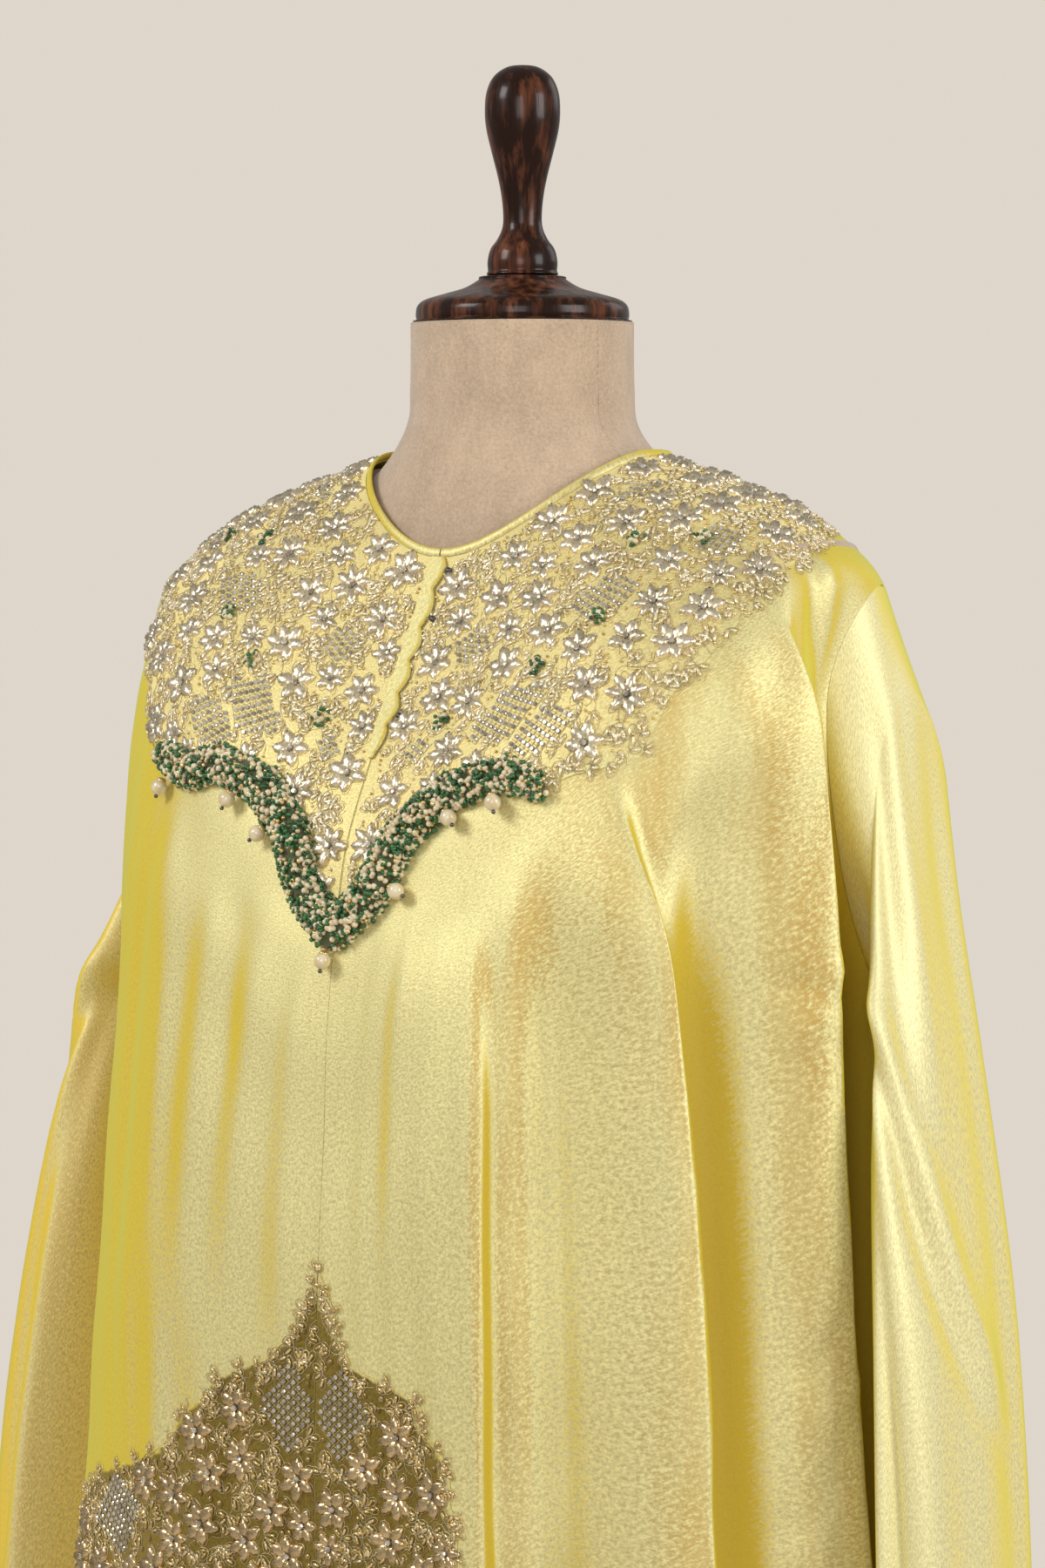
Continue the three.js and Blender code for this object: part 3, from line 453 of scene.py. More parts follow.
def creases_at(angle, section):
    """Depth of the small creases, soft at both ends."""
    depth = np.zeros_like(angle)
    for crease in rows_of(CREASES):
        radius, fall = 165.0, 95.0  # mm to a radian, and mm to a section
        x = np.radians(turn_between(angle, crease["angle"])) * radius
        y = (section - crease["section"]) * fall
        end_x = math.radians(crease["end_angle"] - crease["angle"]) * radius
        end_y = (crease["end_section"] - crease["section"]) * fall
        length = math.hypot(end_x, end_y)
        along = (x * end_x + y * end_y) / length**2
        off = (x * end_y - y * end_x) / length
        wander = 0.35 * crease["width"] * np.sin(3.1 * along + crease["angle"])
        body = np.exp(-0.5 * ((off + wander) / crease["width"]) ** 2)
        depth += crease["depth"] * body * smooth(-0.15, 0.3, along) * smooth(-0.15, 0.35, 1 - along)
    return depth


def ripple(angle, section):
    """Slow unevenness of hung cloth, and the fine waver of its grain."""
    low = smooth(4, 9, section)
    way = np.radians(angle)
    slow = 1.1 * np.sin(way * 9 + 1.7 * np.sin(section * 0.9))
    middle = 0.5 * np.sin(way * 23 + 1.9 * np.sin(section * 0.7 + 1) + 2.2 * np.sin(way * 3))
    fine = 0.4 * np.sin(way * 47 + 2.3 * np.sin(section * 1.1) + 3.1 * np.sin(way * 5))
    cross = 0.35 * np.sin(section * 5.3 + 2.1 * np.sin(way * 5))
    return low * slow + smooth(4.4, 6.5, section) * (middle + fine + cross)


def cloth_lift(angle, section):
    return creases_at(angle, section) + ripple(angle, section)


def cloth_point(angle, section, lift=0.0):
    """The finished surface: main folds, creases and ripples."""
    return raised(angle, section, cloth_lift(angle, section) + lift)


def armhole_half_angle(section):
    share = np.clip((section - ARMHOLE_SECTION) / ARMHOLE_HALF_SECTIONS, -1, 1)
    return ARMHOLE_HALF_ANGLE * np.sqrt(1 - share * share)


PANELS = {
    "front_left": {"start": -90, "end": SIDE_SEAM, "start_opens": 0, "end_opens": 1},
    "front_right": {"start": -180 - SIDE_SEAM, "end": -90, "start_opens": 1, "end_opens": 0},
    "back": {"start": SIDE_SEAM, "end": 180 - SIDE_SEAM, "start_opens": 1, "end_opens": 1},
}


def panel_angle(panel, share, section):
    opening = armhole_half_angle(section)
    held = 0.04  # degrees from the seam
    start, end = panel["start"] + held, panel["end"] - held
    near_start = panel["start_opens"] * (1 - share) ** 4
    near_end = panel["end_opens"] * share**4
    return start + (end - start) * share + opening * (near_start - near_end)


def locate(across, drop):
    """Angle and section of places given from the front, in mm."""
    across, drop = np.atleast_1d(np.asarray(across, float)), np.atleast_1d(np.asarray(drop, float))
    angles, sections = np.meshgrid(np.linspace(-172, -8, 165), np.linspace(0, 11.5, 116), indexing="ij")
    seen = body_point(angles, sections)
    flat = seen.reshape(-1, 3)
    found = []
    for x, d in zip(across, drop):
        far = (flat[:, 0] - x) ** 2 + (SHOULDER_HEIGHT - flat[:, 2] - d) ** 2
        i = int(np.argmin(far))
        found.append((angles.ravel()[i], sections.ravel()[i]))
    angle, section = np.array(found).T
    for _ in range(6):
        here = body_point(angle, section)
        wide = (body_point(angle + 0.5, section)[:, 0] - here[:, 0]) / 0.5
        tall = (here[:, 2] - body_point(angle, section + 0.05)[:, 2]) / 0.05
        angle = angle + np.clip((across - here[:, 0]) / wide, -1, 1) * 0.7
        missing = drop - (SHOULDER_HEIGHT - here[:, 2])
        section = np.clip(section + np.clip(missing / tall, -0.1, 0.1) * 0.7, 0, HEM)
    return angle, section


# ---- Mesh helpers -------------------------------------------------------------------------


def mesh_object(name, mesh):
    made = bpy.data.objects.new(name, mesh)
    bpy.context.scene.collection.objects.link(made)
    return made


def dress(made, look, replaces=(), smooth_faces=True):
    """Gives a finished piece its material, its face shading and its parent, and hides the parts it replaces."""
    made.data.materials.clear()
    made.data.materials.append(look)
    made.data.polygons.foreach_set("use_smooth", [smooth_faces] * len(made.data.polygons))
    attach(made, BODY)
    if replaces:
        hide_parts(*replaces)
    return made


def thicken(made, thickness=CLOTH, offset=-1.0):
    wall = made.modifiers.new("Thickness", "SOLIDIFY")
    wall.thickness = thickness * MM
    wall.offset = offset
    return made


def cloth_mesh(name, columns, rows, place, closed=False):
    """A grid of cloth moved to its place. place gives points in mm and the weave's UV in mm."""
    bm = bmesh.new()
    layer = bm.loops.layers.uv.new("Weave")
    bmesh.ops.create_grid(bm, x_segments=columns, y_segments=rows, size=0.5)
    flat = np.array([vert.co[:2] for vert in bm.verts]) + 0.5
    points, weave, *marks = place(flat[:, 0], 1 - flat[:, 1])
    bm.verts.index_update()
    for face in bm.faces:
        for loop in face.loops:
            loop[layer].uv = weave[loop.vert.index] * MM
    if marks:
        second = bm.loops.layers.uv.new("Marks")
        for face in bm.faces:
            for loop in face.loops:
                loop[second].uv = (marks[0][loop.vert.index], 0)
    for vert, point in zip(bm.verts, points * MM):
        vert.co = point
    if closed:
        bmesh.ops.remove_doubles(bm, verts=bm.verts, dist=0.00002)
    for edge in bm.edges:
        edge.smooth = not edge.is_boundary
    mesh = bpy.data.meshes.new(name)
    bm.to_mesh(mesh)
    bm.free()
    return mesh_object(name, mesh)


def small_shape(build):
    """Points and faces of a small shape that is repeated, from bmesh operators."""
    bm = bmesh.new()
    build(bm)
    bmesh.ops.recalc_face_normals(bm, faces=bm.faces)
    bm.verts.index_update()
    points = np.array([vert.co[:] for vert in bm.verts])
    faces = [[vert.index for vert in face.verts] for face in bm.faces]
    bm.free()
    return points, faces


def scattered(name, shape, places, across, along, out, size):
    """One joined mesh with a copy of a small shape at each place, turned to its three ways."""
    points, faces = shape
    count = len(places)
    size = np.broadcast_to(np.asarray(size, float), (count,)) if np.ndim(size) < 2 else np.asarray(size)
    scale = size[:, None] if size.ndim == 1 else size
    scale = np.broadcast_to(scale, (count, 3))
    ways = np.stack([across, along, out], axis=1)
    moved = np.einsum("pk,nk,nkc->npc", points, scale, ways) + places[:, None, :]
    mesh = bpy.data.meshes.new(name)
    sides = np.array([len(face) for face in faces])
    corners = np.concatenate(faces)
    mesh.vertices.add(count * len(points))
    mesh.vertices.foreach_set("co", moved.reshape(-1) * MM)
    loops = (corners[None, :] + (np.arange(count) * len(points))[:, None]).reshape(-1)
    mesh.loops.add(len(loops))
    mesh.loops.foreach_set("vertex_index", loops)
    mesh.polygons.add(count * len(faces))
    totals = np.tile(sides, count)
    mesh.polygons.foreach_set("loop_start", np.concatenate([[0], np.cumsum(totals)[:-1]]))
    mesh.update(calc_edges=True)
    mesh.validate()
    return mesh_object(name, mesh)


def sphere_shape(bm):
    """A round bead."""
    bmesh.ops.create_icosphere(bm, subdivisions=2, radius=1)


def dot_shape(bm):
    """The smallest bead, of few faces."""
    bmesh.ops.create_uvsphere(bm, u_segments=6, v_segments=4, radius=1)


def faceted_shape(bm):
    """A round stone with a flat table, its foot cut off."""
    bmesh.ops.create_uvsphere(bm, u_segments=8, v_segments=5, radius=1)
    for vert in bm.verts:
        vert.co.z = max(min(vert.co.z, 0.62), -0.25)


def bugle_shape(bm):
    """A short tube bead that lies along its second axis."""
    bmesh.ops.create_cone(bm, cap_ends=True, segments=5, radius1=1, radius2=1, depth=2)
    bmesh.ops.bevel(
        bm, geom=[edge for edge in bm.edges if abs(edge.verts[0].co.z - edge.verts[1].co.z) < 0.1],
        offset=0.3, segments=1, profile=0.5, affect="EDGES", material=-1,
    )
    bmesh.ops.rotate(bm, verts=bm.verts, cent=(0, 0, 0), matrix=Matrix.Rotation(math.pi / 2, 3, "X"))


def petal_shape(bm):
    """A leaf-shaped metal petal along the second axis, with ribs pressed across it."""
    length, ribs = 8, 4
    bmesh.ops.create_grid(bm, x_segments=ribs, y_segments=length, size=0.5)
    for vert in bm.verts:
        across, along = vert.co.x * 2, vert.co.y + 0.5
        width = 0.33 * math.sin(math.pi * along**0.8) ** 0.75
        rib = 0.035 * math.cos(along * math.pi * length)
        vault = 0.2 * (1 - across**2) * math.sin(math.pi * along) ** 0.6
        groove = 0.06 * math.exp(-((across / 0.25) ** 2))
        vert.co = (across * width, 0.1 + 0.9 * along, vault + rib - groove + 0.08 * along)
    edge = bmesh.ops.extrude_edge_only(bm, edges=[e for e in bm.edges if e.is_boundary])
    for vert in (item for item in edge["geom"] if isinstance(item, bmesh.types.BMVert)):
        vert.co.z = -0.08
    bmesh.ops.remove_doubles(bm, verts=bm.verts, dist=0.002)


def sequin_shape(bm):
    """A cupped sequin with a hole."""
    bmesh.ops.create_circle(bm, segments=10, radius=1)
    made = bmesh.ops.extrude_edge_only(bm, edges=list(bm.edges))
    for vert in (item for item in made["geom"] if isinstance(item, bmesh.types.BMVert)):
        vert.co.x, vert.co.y, vert.co.z = vert.co.x * 0.3, vert.co.y * 0.3, -0.25
    bmesh.ops.solidify(bm, geom=list(bm.faces), thickness=0.08)


# ---- Materials ----------------------------------------------------------------------------


class Value:
    """A socket's number in a shader, with arithmetic that adds the nodes."""

    def __init__(self, shader, socket):
        self.shader, self.socket = shader, socket

    def made(self, operation, *others):
        return self.shader.maths(operation, self, *others)

    def __add__(self, other):
        return self.made("ADD", other)

    __radd__ = __add__

    def __mul__(self, other):
        return self.made("MULTIPLY", other)

    __rmul__ = __mul__

    def __sub__(self, other):
        return self.made("SUBTRACT", other)

    def __rsub__(self, other):
        return self.shader.maths("SUBTRACT", other, self)

    def __truediv__(self, other):
        return self.made("DIVIDE", other)

    def __pow__(self, other):
        return self.made("POWER", other)


class Shader:
    """Builds a node material; every node comes from one method."""

    def __init__(self, name):
        self.look = bpy.data.materials.new(name)
        self.look.use_nodes = True
        self.tree = self.look.node_tree
        self.tree.nodes.clear()
        self.output = self.tree.nodes.new("ShaderNodeOutputMaterial")

    def node(self, kind, settings=None, inputs=None):
        made = self.tree.nodes.new(kind)
        for name, value in (settings or {}).items():
            if name == "stops":
                self.set_stops(made.color_ramp, value)
            else:
                setattr(made, name, value)
        for name, value in (inputs or {}).items():
            self.feed(made.inputs[name], value)
        return made

    def set_stops(self, ramp, stops):
        while len(ramp.elements) < len(stops):
            ramp.elements.new(1.0)
        for element, (place, tone) in zip(ramp.elements, stops):
            element.position = place
            element.color = (*tone, 1) if len(tone) == 3 else tone

    def feed(self, socket, value):
        if isinstance(value, Value):
            value = value.socket
        if isinstance(value, bpy.types.NodeSocket):
            self.tree.links.new(value, socket)
        elif isinstance(value, (tuple, list)) and socket.type == "RGBA" and len(value) == 3:
            socket.default_value = (*value, 1)
        else:
            socket.default_value = value

    def maths(self, operation, *values):
        made = self.node("ShaderNodeMath", {"operation": operation}, dict(enumerate(values)))
        return Value(self, made.outputs[0])

    def place(self):
        return self.node("ShaderNodeTexCoord").outputs["Object"]

    def weave_place(self):
        return self.node("ShaderNodeUVMap", {"uv_map": "Weave"}).outputs["UV"]

    def marks(self):
        """The cloth's own mark: how far in from a ground's edge, or how much painted shade the cloth gets in a
        fold.
        """
        where = self.node("ShaderNodeUVMap", {"uv_map": "Marks"}).outputs["UV"]
        return Value(self, self.node("ShaderNodeSeparateXYZ", None, {0: where}).outputs["X"])

    def noise(self, where, scale, detail=2.0, rough=0.5):
        inputs = {"Vector": where, "Scale": scale, "Detail": detail, "Roughness": rough}
        return Value(self, self.node("ShaderNodeTexNoise", None, inputs).outputs["Fac"])

    def scaled(self, where, factors):
        inputs = {"Vector": where, "Scale": factors}
        return self.node("ShaderNodeMapping", None, inputs).outputs["Vector"]

    def mixed(self, share, first, second):
        inputs = {0: share, 6: first, 7: second}
        return self.node("ShaderNodeMix", {"data_type": "RGBA"}, inputs).outputs[2]

    def step(self, value, low, high):
        inputs = {"Value": value, "From Min": low, "From Max": high}
        return Value(self, self.node("ShaderNodeMapRange", {"clamp": True}, inputs).outputs[0])

    def bump(self, height, strength, distance):
        inputs = {"Height": height, "Strength": strength, "Distance": distance}
        return self.node("ShaderNodeBump", None, inputs).outputs["Normal"]

    def finish(self, **inputs):
        surface = self.node("ShaderNodeBsdfPrincipled", None, inputs)
        self.tree.links.new(surface.outputs[0], self.output.inputs["Surface"])
        return self.look

    def blend(self, share, first, second):
        surfaces = [self.node("ShaderNodeBsdfPrincipled", None, inputs) for inputs in (first, second)]
        made = self.node("ShaderNodeMixShader", None, {0: share})
        for i, surface in enumerate(surfaces):
            self.tree.links.new(surface.outputs[0], made.inputs[i + 1])
        self.tree.links.new(made.outputs[0], self.output.inputs["Surface"])
        return self.look


def shade(tone, share):
    """A colour made darker or brighter, each part held below white."""
    return tuple(min(1.0, share * part) for part in tone)


def tissue_look(name, warp, weft, reach=0.2, gold=0.6, stitch_tone_or_shade=None, folded=False):
    """Sheer tissue: flat metal thread that shows where the cloth faces the eye, smooth yellow silk
    where it turns away, and the edge between the two ragged. Painted sheen turns the silk lime at
    grazing edges, and painted shade darkens the silk in folds; a stitched ground's cover colour is laid over."""
    shader = Shader(name)
    weave = shader.weave_place()
    place = shader.place()
    grain = shader.noise(shader.scaled(weave, (1.0, 0.6, 1.0)), 680, 2, 0.7)
    fine = shader.noise(shader.scaled(weave, (1.0, 0.5, 1.0)), 1150, 1, 0.6)
    turned = shader.node("ShaderNodeMapping", None, {"Vector": weave, "Rotation": (0, 0, 0.72)})
    twill = shader.noise(shader.scaled(turned.outputs[0], (1.0, 3.0, 1.0)), 260, 2, 0.6)
    streaks = shader.noise(shader.scaled(weave, (1.0, 0.06, 1.0)), 45, 3, 0.6)
    cloud = shader.noise(shader.scaled(place, (1.0, 1.0, 0.35)), 9, 2, 0.5)
    facing = Value(shader, shader.node("ShaderNodeLayerWeight", None, {"Blend": 0.36}).outputs["Facing"])
    edge = facing + (grain + twill - 1.0) * 0.26 + (streaks - 0.5) * 0.12 + (cloud - 0.5) * 0.1
    # Painted shade: in folds the mark pushes the cloth towards plain silk, so less metal shows, and below it
    # darkens that silk towards the shadow colour.
    fold_shade = shader.marks() if folded else 0.0
    edge = edge + fold_shade * 0.62 if folded else edge
    metal_shows = 1 - shader.step(edge, reach - 0.05, reach + 0.15)
    centre = (1 - shader.step(edge, 0.0, 0.1)) * shader.step(streaks + (cloud - 0.5) * 0.6, 0.36, 0.58)
    thread = shader.step(grain * 0.5 + fine * 0.3 + twill * 0.2, 0.40, 0.60)
    dull, bright = shade(weft, 0.7), shade(weft, 1.06)
    # Colours laid into the tissue: lime is painted sheen at grazing edges, shadow is painted shade in folds,
    # brown tints the metal.
    brown, lime_sheen, shadow = (0.60, 0.40, 0.12), (0.70, 0.66, 0.10), (0.45, 0.31, 0.02)
    metal = shader.mixed(thread, dull, bright)
    metal = shader.mixed(centre * gold, metal, brown)
    silk = shader.mixed(thread, shade(warp, 0.88), warp)
    # painted sheen: the silk turns lime where the cloth turns away from the eye
    silk = shader.mixed(shader.step(facing, 0.4, 0.8), silk, lime_sheen)
    # painted shade: the silk darkened towards the shadow colour in fold troughs and on steep flanks
    if folded:
        silk = shader.mixed(fold_shade, silk, shadow)
    # Over a stitched ground a cover colour is laid on: pale gold stitching on the yoke, painted shade between
    # the flowers on the medallion.
    if stitch_tone_or_shade:
        border = shader.marks()
        cover = shader.step(border + (shader.noise(place, 240, 2, 0.6) - 0.5) * 1.2, 0.2, 0.7)
        silk = shader.mixed(cover, silk, stitch_tone_or_shade)
        metal = shader.mixed(cover, metal, shader.mixed(thread, shade(stitch_tone_or_shade, 0.6), stitch_tone_or_shade))
    normal = shader.bump(thread, 0.2, 0.0004)
    return shader.blend(
        metal_shows * 0.9 + 0.02,
        {"Base Color": silk, "Roughness": 0.55, "Normal": normal, "Specular IOR Level": 0.2},
        {
            "Base Color": metal, "Roughness": 0.55, "Metallic": 0.5,
            "Normal": normal, "Specular IOR Level": 0.2,
        },
    )


def metal_look(name, tone, rough=0.24, metallic=1.0, scale=900):
    shader = Shader(name)
    wear = shader.noise(shader.place(), scale, 2, 0.6)
    tarnish = shader.noise(shader.place(), 60, 3, 0.6)
    base = shader.mixed(shader.step(wear * 0.5 + tarnish * 0.5, 0.35, 0.6), shade(tone, 0.5), tone)
    roughness = rough + (wear - 0.5) * 0.2
    return shader.finish(**{
        "Base Color": base, "Metallic": metallic, "Roughness": roughness,
        "Normal": shader.bump(wear, 0.15, 0.0002),
    })


def glass_look(name, tone, pale, rough=0.08, metallic=0.0):
    """Lined glass or pearl: glossy, each bead a little lighter or darker."""
    shader = Shader(name)
    each = shader.noise(shader.place(), 330, 0, 0.5)
    base = shader.mixed(shader.step(each, 0.35, 0.65), tone, pale)
    return shader.finish(**{
        "Base Color": base, "Roughness": rough, "Metallic": metallic,
        "Coat Weight": 0.6, "Coat Roughness": 0.05,
    })


def linen_look(name, tone):
    """Napped cover of the form: soft mottling and a fine pile."""
    shader = Shader(name)
    place = shader.place()
    nap = shader.noise(place, 620, 3, 0.75)
    mottle = shader.noise(shader.scaled(place, (1.0, 1.0, 0.6)), 55, 4, 0.65)
    dark = tuple(0.7 * part for part in tone)
    base = shader.mixed(shader.step(mottle * 0.4 + nap * 0.6, 0.38, 0.62), dark, tone)
    return shader.finish(**{
        "Base Color": base, "Roughness": 0.92, "Sheen Weight": 0.45, "Sheen Roughness": 0.5,
        "Normal": shader.bump(nap + mottle * 0.6, 0.5, 0.0006),
    })


def walnut_look(name, tone):
    """Dark stained walnut under gloss, its red-brown grain showing where the stain is thin."""
    shader = Shader(name)
    place = shader.place()
    long = shader.scaled(place, (1.0, 1.0, 0.12))
    grain = shader.noise(long, 150, 4, 0.6)
    patch = shader.noise(place, 26, 2, 0.5)
    pores = shader.step(shader.noise(shader.scaled(place, (1.0, 1.0, 0.06)), 900, 1, 0.5), 0.6, 0.75)
    red = (0.20, 0.065, 0.03)
    shown = shader.step(grain * 0.65 + patch * 0.35, 0.48, 0.68)
    base = shader.mixed(shown * (1 - pores), tone, red)
    return shader.finish(**{
        "Base Color": base, "Roughness": 0.25 + pores * 0.2, "Coat Weight": 0.12, "Coat Roughness": 0.1,
        "Specular IOR Level": 0.15,
        "Normal": shader.bump(grain, 0.08, 0.0006),
    })


def stage_look(name, tone):
    shader = Shader(name)
    blotch = shader.noise(shader.place(), 0.8, 2, 0.5)
    base = shader.mixed(blotch, tuple(0.97 * part for part in tone), tone)
    return shader.finish(**{"Base Color": base, "Roughness": 0.95})


def look(name):
    """The named material, made the first time it is asked for."""
    title = f"Kaftan {name}"
    if title in bpy.data.materials:
        return bpy.data.materials[title]
    tones = bpy.context.scene.kaftan_colours
    makers = {
        "tissue": lambda: tissue_look(title, tuple(tones.warp), tuple(tones.weft), 0.3, 0.9, folded=True),
        # Painted light and shade: the left sleeve's tissue is a paler, brighter copy with more metal showing,
        # as painted light; the right sleeve's shaded_tissue is a darker, more yellow copy with less metal, as
        # painted shade.
        "shaded_tissue": lambda: tissue_look(title, (0.86, 0.62, 0.08), tuple(tones.weft), 0.1),
        "lit_sleeve_tissue": lambda: tissue_look(title, (0.94, 0.74, 0.16), (1.0, 0.90, 0.50), 0.42, 0.1),
        "edging": lambda: tissue_look(title, tuple(tones.warp), tuple(tones.weft), 0.25),
        "yoke_ground": lambda: tissue_look(
            title, tuple(tones.warp), tuple(tones.weft), 0.3, 0.1, (0.95, 0.81, 0.36)
        ),
        # The medallion's dark stitched ground colour is painted shade in the gaps between its flowers.
        "medallion_ground": lambda: tissue_look(
            title, tuple(tones.warp), tuple(tones.weft), 0.2, 0.6, (0.27, 0.19, 0.035)
        ),
        "petal_metal": lambda: metal_look(title, tuple(tones.petal), 0.3, 0.85),
        "antique_metal": lambda: metal_look(title, tuple(tones.antique), 0.25, 0.9),
        "thread_metal": lambda: metal_look(title, (0.90, 0.76, 0.46), 0.38, 0.6),
        "steel": lambda: metal_look(title, (0.16, 0.16, 0.17), 0.25),
        "green_glass": lambda: glass_look(title, tuple(tones.green), (0.025, 0.15, 0.03)),
        "pearl": lambda: glass_look(title, tuple(tones.pearl), (0.80, 0.69, 0.46), 0.25),
        "gold_glass": lambda: glass_look(title, (0.62, 0.42, 0.12), (0.9, 0.72, 0.4), 0.14, 0.6),
        "bugle_glass": lambda: glass_look(title, (0.78, 0.62, 0.32), (0.95, 0.86, 0.62), 0.12, 0.35),
        "stone": lambda: glass_look(title, (0.40, 0.36, 0.30), (0.82, 0.78, 0.70), 0.06, 0.6),
        # The core's dark colour also stands in for the shade between the trim's beads: painted shade on a real
        # roll.
        "core": lambda: linen_look(title, (0.10, 0.11, 0.04)),
        "linen": lambda: linen_look(title, tuple(tones.linen)),
        "walnut": lambda: walnut_look(title, tuple(tones.walnut)),
        "stage": lambda: stage_look(title, tuple(tones.wall)),
    }
    return makers[name]()


# ---- Cloth --------------------------------------------------------------------------------


def panel_cloth(name, columns, rows):
    panel = PANELS[name]

    def place(across, down):
        section = HEM * down**0.9
        angle = panel_angle(panel, across, section)
        radius, fall = 170.0, 104.0
        weave = np.stack([np.radians(angle) * radius, section * fall], axis=-1)
        out, before, after = (folds_at(angle + turn, section)[0] for turn in (0, -0.7, 0.7))
        falling = (before - after) / (math.radians(1.4) * radius)
        # Painted shade mark: full in deep fold troughs, 0.6 on steep fold flanks, only on the lower body.
        fold_shade = np.maximum(smooth(-3, 17, -out), 0.6 * smooth(0.3, 1.1, falling)) * smooth(4.6, 7.4, section)
        return cloth_point(angle, section), weave, fold_shade

    return thicken(cloth_mesh(f"{name}_cloth", columns, rows, place))


def armhole_edge(turn, hand):
    angle = SIDE_SEAM + ARMHOLE_HALF_ANGLE * np.sin(np.radians(turn))
    section = ARMHOLE_SECTION - ARMHOLE_HALF_SECTIONS * np.cos(np.radians(turn))
    return cloth_point(angle if hand > 0 else 180 - angle, section)


def sleeve_ring(turn, place, hand):
    """Points of a sleeve; place counts rings below the armhole."""
    c, s = np.cos(np.radians(turn)), np.sin(np.radians(turn))
    row = {name: column(values, place - 1) for name, values in SLEEVE_RINGS.items()}
    out = row["right_out"] if hand < 0 else 0
    shift = row["shift"] + (row["right_shift"] if hand < 0 else 0)
    crease = np.zeros_like(turn)
    for fold in rows_of(SLEEVE_FOLDS):
        crest = fold["top"] + (fold["low"] - fold["top"]) * place / CUFF
        shown = smooth(fold["start"] - 0.4, fold["start"] + 1.6, place)
        shown = shown * smooth(-0.6, 1.2, fold["end"] - place)
        crease += fold["depth"] * shown * np.exp(-0.5 * (turn_between(turn, crest) / fold["width"]) ** 2)
    crease += 0.5 * np.sin(np.radians(turn) * 7 + place * 1.3) * smooth(0.5, 2, place)
    half = (row["outer"] + out - row["inner"]) / 2
    middle = (row["outer"] + out + row["inner"]) / 2
    drop = row["outer_drop"] + (row["inner_drop"] - row["outer_drop"]) * (1 - c) / 2
    across = hand * (middle + (half + crease) * c)
    return np.stack([across, shift + (row["depth"] + crease) * s, SHOULDER_HEIGHT - drop], axis=-1)


def sleeve_cloth(name, hand, columns, rows):
    def place(around, down):
        turn = 360 * around * hand
        ring = CUFF * down**1.15
        below = sleeve_ring(turn, np.maximum(ring, 1), hand)
        edge = armhole_edge(turn, hand)
        share = smooth(0, 1, ring)[:, None]
        straight = np.clip(ring, 0, 1)[:, None]
        share = straight * 0.7 + share * 0.3
        points = np.where(ring[:, None] < 1, edge * (1 - share) + below * share, below)
        weave = np.stack([around * 400, ring * 92], axis=-1)
        return points, weave

    return thicken(cloth_mesh(f"{name}_cloth", columns, rows, place, closed=True))


# ---- Operators ----------------------------------------------------------------------------


class KaftanOperator(bpy.types.Operator):
    """Common base: makes its pieces and reports that it has finished."""

    bl_options = {"REGISTER", "UNDO"}

    def execute(self, context):
        self.make(context.scene.kaftan_sizes)
        return {"FINISHED"}


class KAFTAN_OT_panels(KaftanOperator):
    """Make the front and back panels"""

    bl_idname = "kaftan.panels"
    bl_label = "Panels"

    def make(self, sizes):
        # flat sizes of the cuts, in metres: width, length and area
        cuts = {
            "front_left": (160, 220, (0.50, 1.33, 0.47)),
            "front_right": (110, 220, (0.50, 1.33, 0.47)),
            "back": (150, 210, (0.92, 1.40, 0.90)),
        }
        for name, (columns, rows, (width, length, area)) in cuts.items():
            cloth = panel_cloth(name, columns, rows)
            dress(cloth, look("tissue"), [name])


class KAFTAN_OT_sleeves(KaftanOperator):
    """Make the two hanging sleeves"""

    bl_idname = "kaftan.sleeves"
    bl_label = "Sleeves"

    def make(self, sizes):
        for name, hand in (("sleeve_left", 1), ("sleeve_right", -1)):
            cloth = sleeve_cloth(name, hand, 80, 150)
            # lit and shaded copies of the tissue: painted light on the left sleeve, painted shade on the right
            dress(cloth, look("lit_sleeve_tissue" if hand > 0 else "shaded_tissue"), [name])


def outline_shares(drops, edge, key):
    return np.interp(drops, edge["drop"], edge[key])


def yoke_hem(across):
    return np.interp(np.abs(across), YOKE_EDGE["across"], YOKE_EDGE["drop"])


def yoke_last_section(angle):
    """Section at which the yoke ends, at each angle: solved where the cloth meets its edge."""
    low, high = np.zeros_like(angle), np.full_like(angle, 6.0)
    for _ in range(24):
        middle = (low + high) / 2
        point = body_point(angle, middle)
        inside = SHOULDER_HEIGHT - point[:, 2] < yoke_hem(point[:, 0])
        low, high = np.where(inside, middle, low), np.where(inside, high, middle)
    return np.minimum(low, np.interp(np.abs(angle + 90), YOKE_SHOULDER["turn"], YOKE_SHOULDER["section"]))


def yoke_ground(name, hand):
    def place(across, down):
        angle = -90 + hand * (0.25 + across * (89 + SIDE_SEAM))
        section = 0.02 + (yoke_last_section(angle) - 0.02) * down
        points = cloth_point(angle, section, STITCH_LIFT)
        inside = np.minimum((1 - down) * 150, (1 - across) * 250)
        return points, np.stack([angle * 2.6, section * 104], axis=-1), inside / BORDER

    made = cloth_mesh(f"{name}_ground", 90, 70, place)
    if hand < 0:
        made.data.flip_normals()
    return thicken(made, 0.35)


